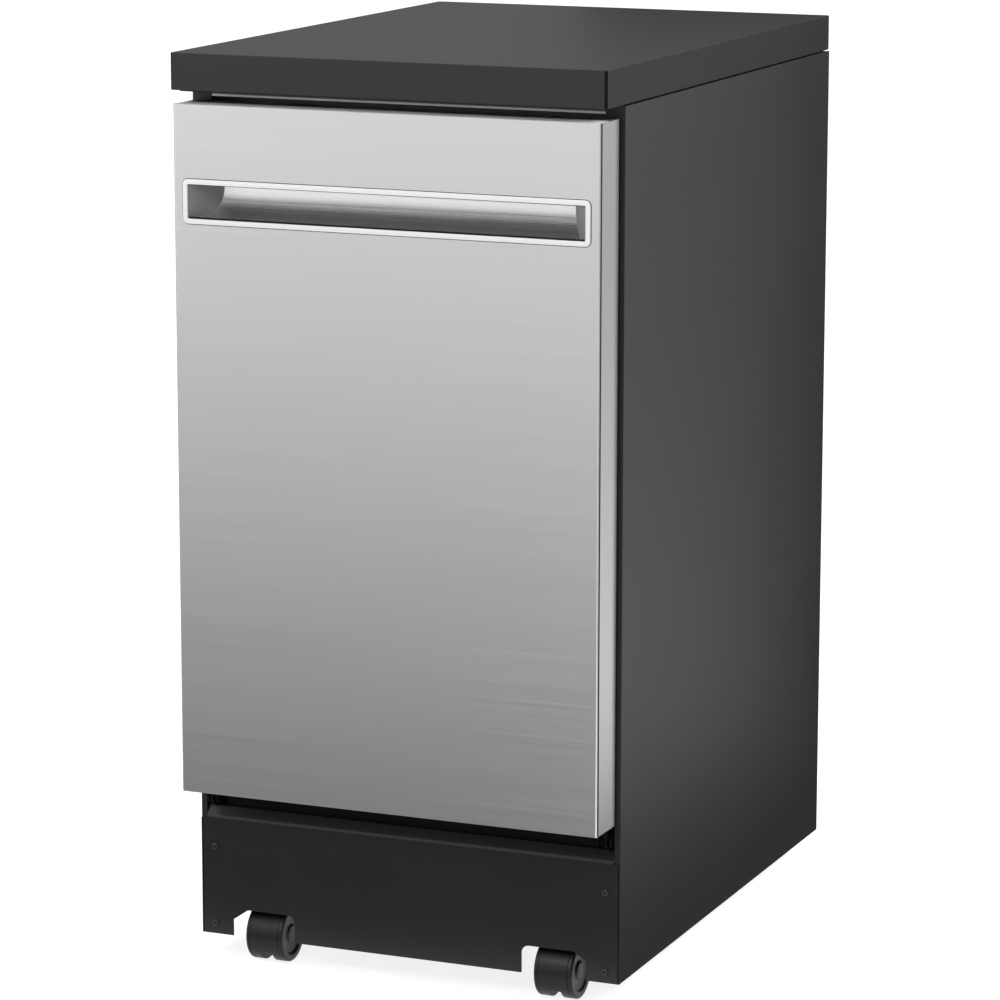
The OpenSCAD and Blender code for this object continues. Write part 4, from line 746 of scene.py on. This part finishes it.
# %% Kickplate
low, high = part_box("kickplate")
SHEET = 1.2 * mm
BEND_H = 12.5 * mm
BEND_R = 7 * mm
BEND_LEAN = math.radians(32)
BEND_STEPS = 12
BEND_CLEAR = 6.3 * mm
CUT_IN, CUT_OUT, CUT_H = 122.5 * mm, 190.5 * mm, 28 * mm
SLANT_X, SLANT_Z = 13.5 * mm, 8.7 * mm
ROUND = 8 * mm
KICK_JOINT = 1.3 * mm
bend_z = high.z - BEND_H
cut_top = low.z + CUT_H
half_cut = [(CUT_IN, low.z)] + arc((CUT_IN + ROUND, cut_top - ROUND), ROUND, 180, 90, 10)
half_cut += [(CUT_OUT - SLANT_X, cut_top), (CUT_OUT, cut_top - SLANT_Z), (CUT_OUT, low.z)]
outline = [(-x, z) for x, z in reversed(half_cut)] + half_cut
outline += [(high.x, low.z), (high.x, bend_z), (low.x, bend_z), (low.x, low.z)]
flat = pushed("flat", outline, low.y, low.y + SHEET, "y")
front = arc((low.y + BEND_R, bend_z), BEND_R, 180, 180 - math.degrees(BEND_LEAN), BEND_STEPS)
bend_y, rise = front[-1][0], high.z - front[-1][1]
front.append((bend_y + rise * math.tan(BEND_LEAN), high.z))
leans = [BEND_LEAN * min(1, i / BEND_STEPS) for i in range(len(front))]
back = [(y + SHEET * math.cos(lean), z - SHEET * math.sin(lean)) for (y, z), lean in zip(front, leans)]
bend = pushed("bend", front + back[::-1], low.x + BEND_CLEAR, high.x - BEND_CLEAR, "x")
add_piece("kick_plate", joined("kick_plate", flat, bend), "kick_steel", "cabinet", ["kickplate"])
gaps = [block("gap", x - KICK_JOINT / 2, x + KICK_JOINT / 2, low.y - 0.12 * mm, low.y + 0.2 * mm,
              low.z + 1 * mm, bend_z) for x in (low.x + SHEET, high.x - SHEET)]
add_piece("kick_gap", joined("kick_gap", *gaps), "frame_steel", "cabinet")
print("kickplate", round((high.x - low.x) / mm, 1), "x", round((high.z - low.z) / mm, 1), "mm")

# %% [markdown]
# ## Thin lines at the door
# A few lines hardly thicker than a hair make a cabinet look assembled. The lip under the
# worktop ends in a thin bright strip of zinc, a painted highlight on its bent edge. The
# door's top edge gets a paler matt band a quarter of a millimetre proud of the skin, a
# painted light. And where the skin is folded back at the left and right, a thin dark strip
# lies in each bend, a painted dark reflection.

# %% Painted highlight, light and dark reflection at the door edges
side_low, side_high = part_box("side_panel_right")
HIGHLIGHT_FOOT, HIGHLIGHT_TOP = 7.9 * mm, 6 * mm
BAND_IN, BAND_FRONT, BAND_BACK = 2 * mm, 1.4 * mm, 26 * mm
FOLD_FRONT, FOLD_BACK = 1.1 * mm, 4.2 * mm
lip_y = side_low.y + SHEET
# A painted highlight: a thin strip of bright zinc on the lip's bent edge.
highlight_strip = block("lip_painted_highlight", -side_low.x, side_low.x, lip_y - 0.4 * mm, lip_y + 0.2 * mm,
             side_high.z - HIGHLIGHT_FOOT, side_high.z - HIGHLIGHT_TOP)
add_piece("lip_painted_highlight", highlight_strip, "galvanised", "cabinet")

low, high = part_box("door_skin")
# The band on the top edge is a painted light, paler than the brushed steel under it.
band = round_outline(low.x + BAND_IN, low.y + BAND_FRONT, high.x - BAND_IN, low.y + BAND_BACK,
                     1 * mm, steps=4)
add_piece("door_edge_painted_light", pushed("door_edge_painted_light", band, high.z - 0.2 * mm, high.z + 0.25 * mm, "z"),
          "bezel_silver", "door", finish="door_edge_painted_light")
# The strips in the folds are a painted dark reflection in the tight bends.
folds = [block("fold", x - 0.14 * mm, x + 0.12 * mm, low.y + FOLD_FRONT, low.y + FOLD_BACK,
               low.z + 0.6 * mm, high.z + 0.2 * mm) for x in (low.x, high.x)]
add_piece("door_fold_reflections", joined("door_fold_reflections", *folds), "door_steel", "door", finish="fold_dark_reflection_and_joint")
print("door edges", round((high.z - low.z) / mm), "mm tall")

# %% [markdown]
# ## Floor and light
# A studio photograph of an appliance is lit by large soft lamps, so that gloss shows as
# broad gradients and shadows have no hard edge. The floor is a light table, a pale plain
# sheet that glows from below, so only a faint shadow is left.

# %% Floor
FLOOR_TONE = (0.32, 0.32, 0.32)
floor_mesh = bpy.data.meshes.new("floor")
maker = bmesh.new()
bmesh.ops.create_grid(maker, x_segments=2, y_segments=2, size=30)
maker.to_mesh(floor_mesh)
maker.free()
floor = bpy.data.objects.new("floor", floor_mesh)
scene.collection.objects.link(floor)
pale, shader = new_finish("floor_pale", FLOOR_TONE, 0.9)
shader.inputs["Emission Color"].default_value = (1, 1, 1, 1)
shader.inputs["Emission Strength"].default_value = 0.85
shader.inputs["Specular IOR Level"].default_value = 0.0
cloud = stretched_noise(pale, (0.7, 0.7, 0.7), detail=2)
mottle(pale, shader, cloud, FLOOR_TONE, 0.01)
floor_mesh.materials.append(pale)
print("floor laid")

# %% [markdown]
# ### Cards
# Brushed steel shows nothing but what it mirrors, so a photographer lays a graded card on
# the floor in front of it: dark near the door and pale further out, with a white wall at
# its far end. The steel then runs from a bright top to a calm foot. To the right lies a
# card for the painted side, pale near the cabinet and darker further back, and a narrow
# dark card along the panel calms its foot. Three dim cards take light away again: one
# stands behind the cabinet's side, one behind the worktop, and one lies far out to the
# right of the front. All the cards show in gloss only: they add reflections, and neither
# cast shadows nor stand in the picture.

# %% Cards that only the gloss sees


def card(name, corners, glow, span=(0, 1)):
    """A card that glows softly. The glow runs from glow's first to its second strength
    where Y runs from the first to the second place of the span."""
    sheet = bpy.data.meshes.new(name)
    sheet.from_pydata(corners, [], [(0, 1, 2, 3)])
    made = bpy.data.objects.new(name, sheet)
    scene.collection.objects.link(made)
    paper, shader = new_finish(name, (0, 0, 0), 1.0)
    shader.inputs["Specular IOR Level"].default_value = 0.0
    shader.inputs["Emission Color"].default_value = (1, 1, 1, 1)
    place = node(paper, "ShaderNodeTexCoord")
    parts = node(paper, "ShaderNodeSeparateXYZ")
    join(paper, place.outputs["Object"], parts.inputs["Vector"])
    join(paper, mapped(paper, parts.outputs["Y"], span, glow), shader.inputs["Emission Strength"])
    sheet.materials.append(paper)
    made.visible_camera = False
    made.visible_diffuse = False
    made.visible_shadow = False
    made.visible_transmission = False


def flat_card(left, front, right, back, z=4 * mm):
    """The corners of a card that lies just over the floor."""
    return [(left, front, z), (right, front, z), (right, back, z), (left, back, z)]


def upright_card(left, right, y, top):
    """The corners of a card that stands on the floor and faces the front."""
    return [(left, y, 0), (right, y, 0), (right, y, top), (left, y, top)]


card("front_card", flat_card(-9, -8, 0.235, -0.36), glow=(0.09, 1.1), span=(-0.8, -6.5))
card("wall_card", upright_card(-12, 1, -8, 6), glow=(1.0, 1.0))
card("side_card", flat_card(0.235, -0.34, 5, 9), glow=(1.16, 0.34), span=(1.0, 5))
card("foot_card", flat_card(0.23, -0.35, 0.55, 1.2, z=6 * mm), glow=(0.05, 0.05))
card("rear_card", upright_card(0.235, 0.42, 0.55, 1.0), glow=(0.05, 0.05))
card("far_card", flat_card(1.3, -6, 8, -0.35), glow=(0.1, 0.1))
card("top_card", upright_card(-0.2, 0.5, 0.7, 1.3), glow=(0.1, 0.1))
print("cards laid")

# %% [markdown]
# ### Lamps
# The room glows with an even pale grey. One wide lamp straight above brightens every face
# that looks up, as the ceiling of a studio does. A soft box high in front lights the door,
# another high on the right lights the worktop and the side, and a weak one low on the left
# fills in the door's left half.

# %% Light
scene.view_settings.view_transform = "Standard"
world = bpy.data.worlds.new("studio")
scene.world = world
world.use_nodes = True
world.node_tree.nodes["Background"].inputs["Color"].default_value = (1, 1, 1, 1)
world.node_tree.nodes["Background"].inputs["Strength"].default_value = 0.5


def hang(name, lamp, place, aim):
    """Puts a lamp at place and turns it to aim."""
    holder = bpy.data.objects.new(name, lamp)
    holder.location = place
    holder.rotation_euler = (Vector(aim) - Vector(place)).to_track_quat("-Z", "Y").to_euler()
    scene.collection.objects.link(holder)


def soft_box(name, place, aim, wide, high, watts):
    """A rectangular lamp at place that faces aim."""
    lamp = bpy.data.lights.new(name, "AREA")
    lamp.shape = "RECTANGLE"
    lamp.size = wide
    lamp.size_y = high
    lamp.energy = watts
    hang(name, lamp, place, aim)


DOOR_MIDDLE = (0, -0.3, 0.6)
overhead = bpy.data.lights.new("overhead", "SUN")
overhead.energy = 1.2
overhead.angle = math.radians(30)
hang("overhead", overhead, place=(0, 0, 6), aim=(0, 0, 0))
soft_box("far_front", (-0.5, -4.0, 3.5), DOOR_MIDDLE, wide=2.5, high=1.5, watts=100)
soft_box("left_front", (-2.5, -2.0, 1.2), DOOR_MIDDLE, wide=1.5, high=1.5, watts=12)
soft_box("right_high", (2.2, 0.8, 2.2), (0.2, 0, 0.6), wide=1.5, high=1.5, watts=100)
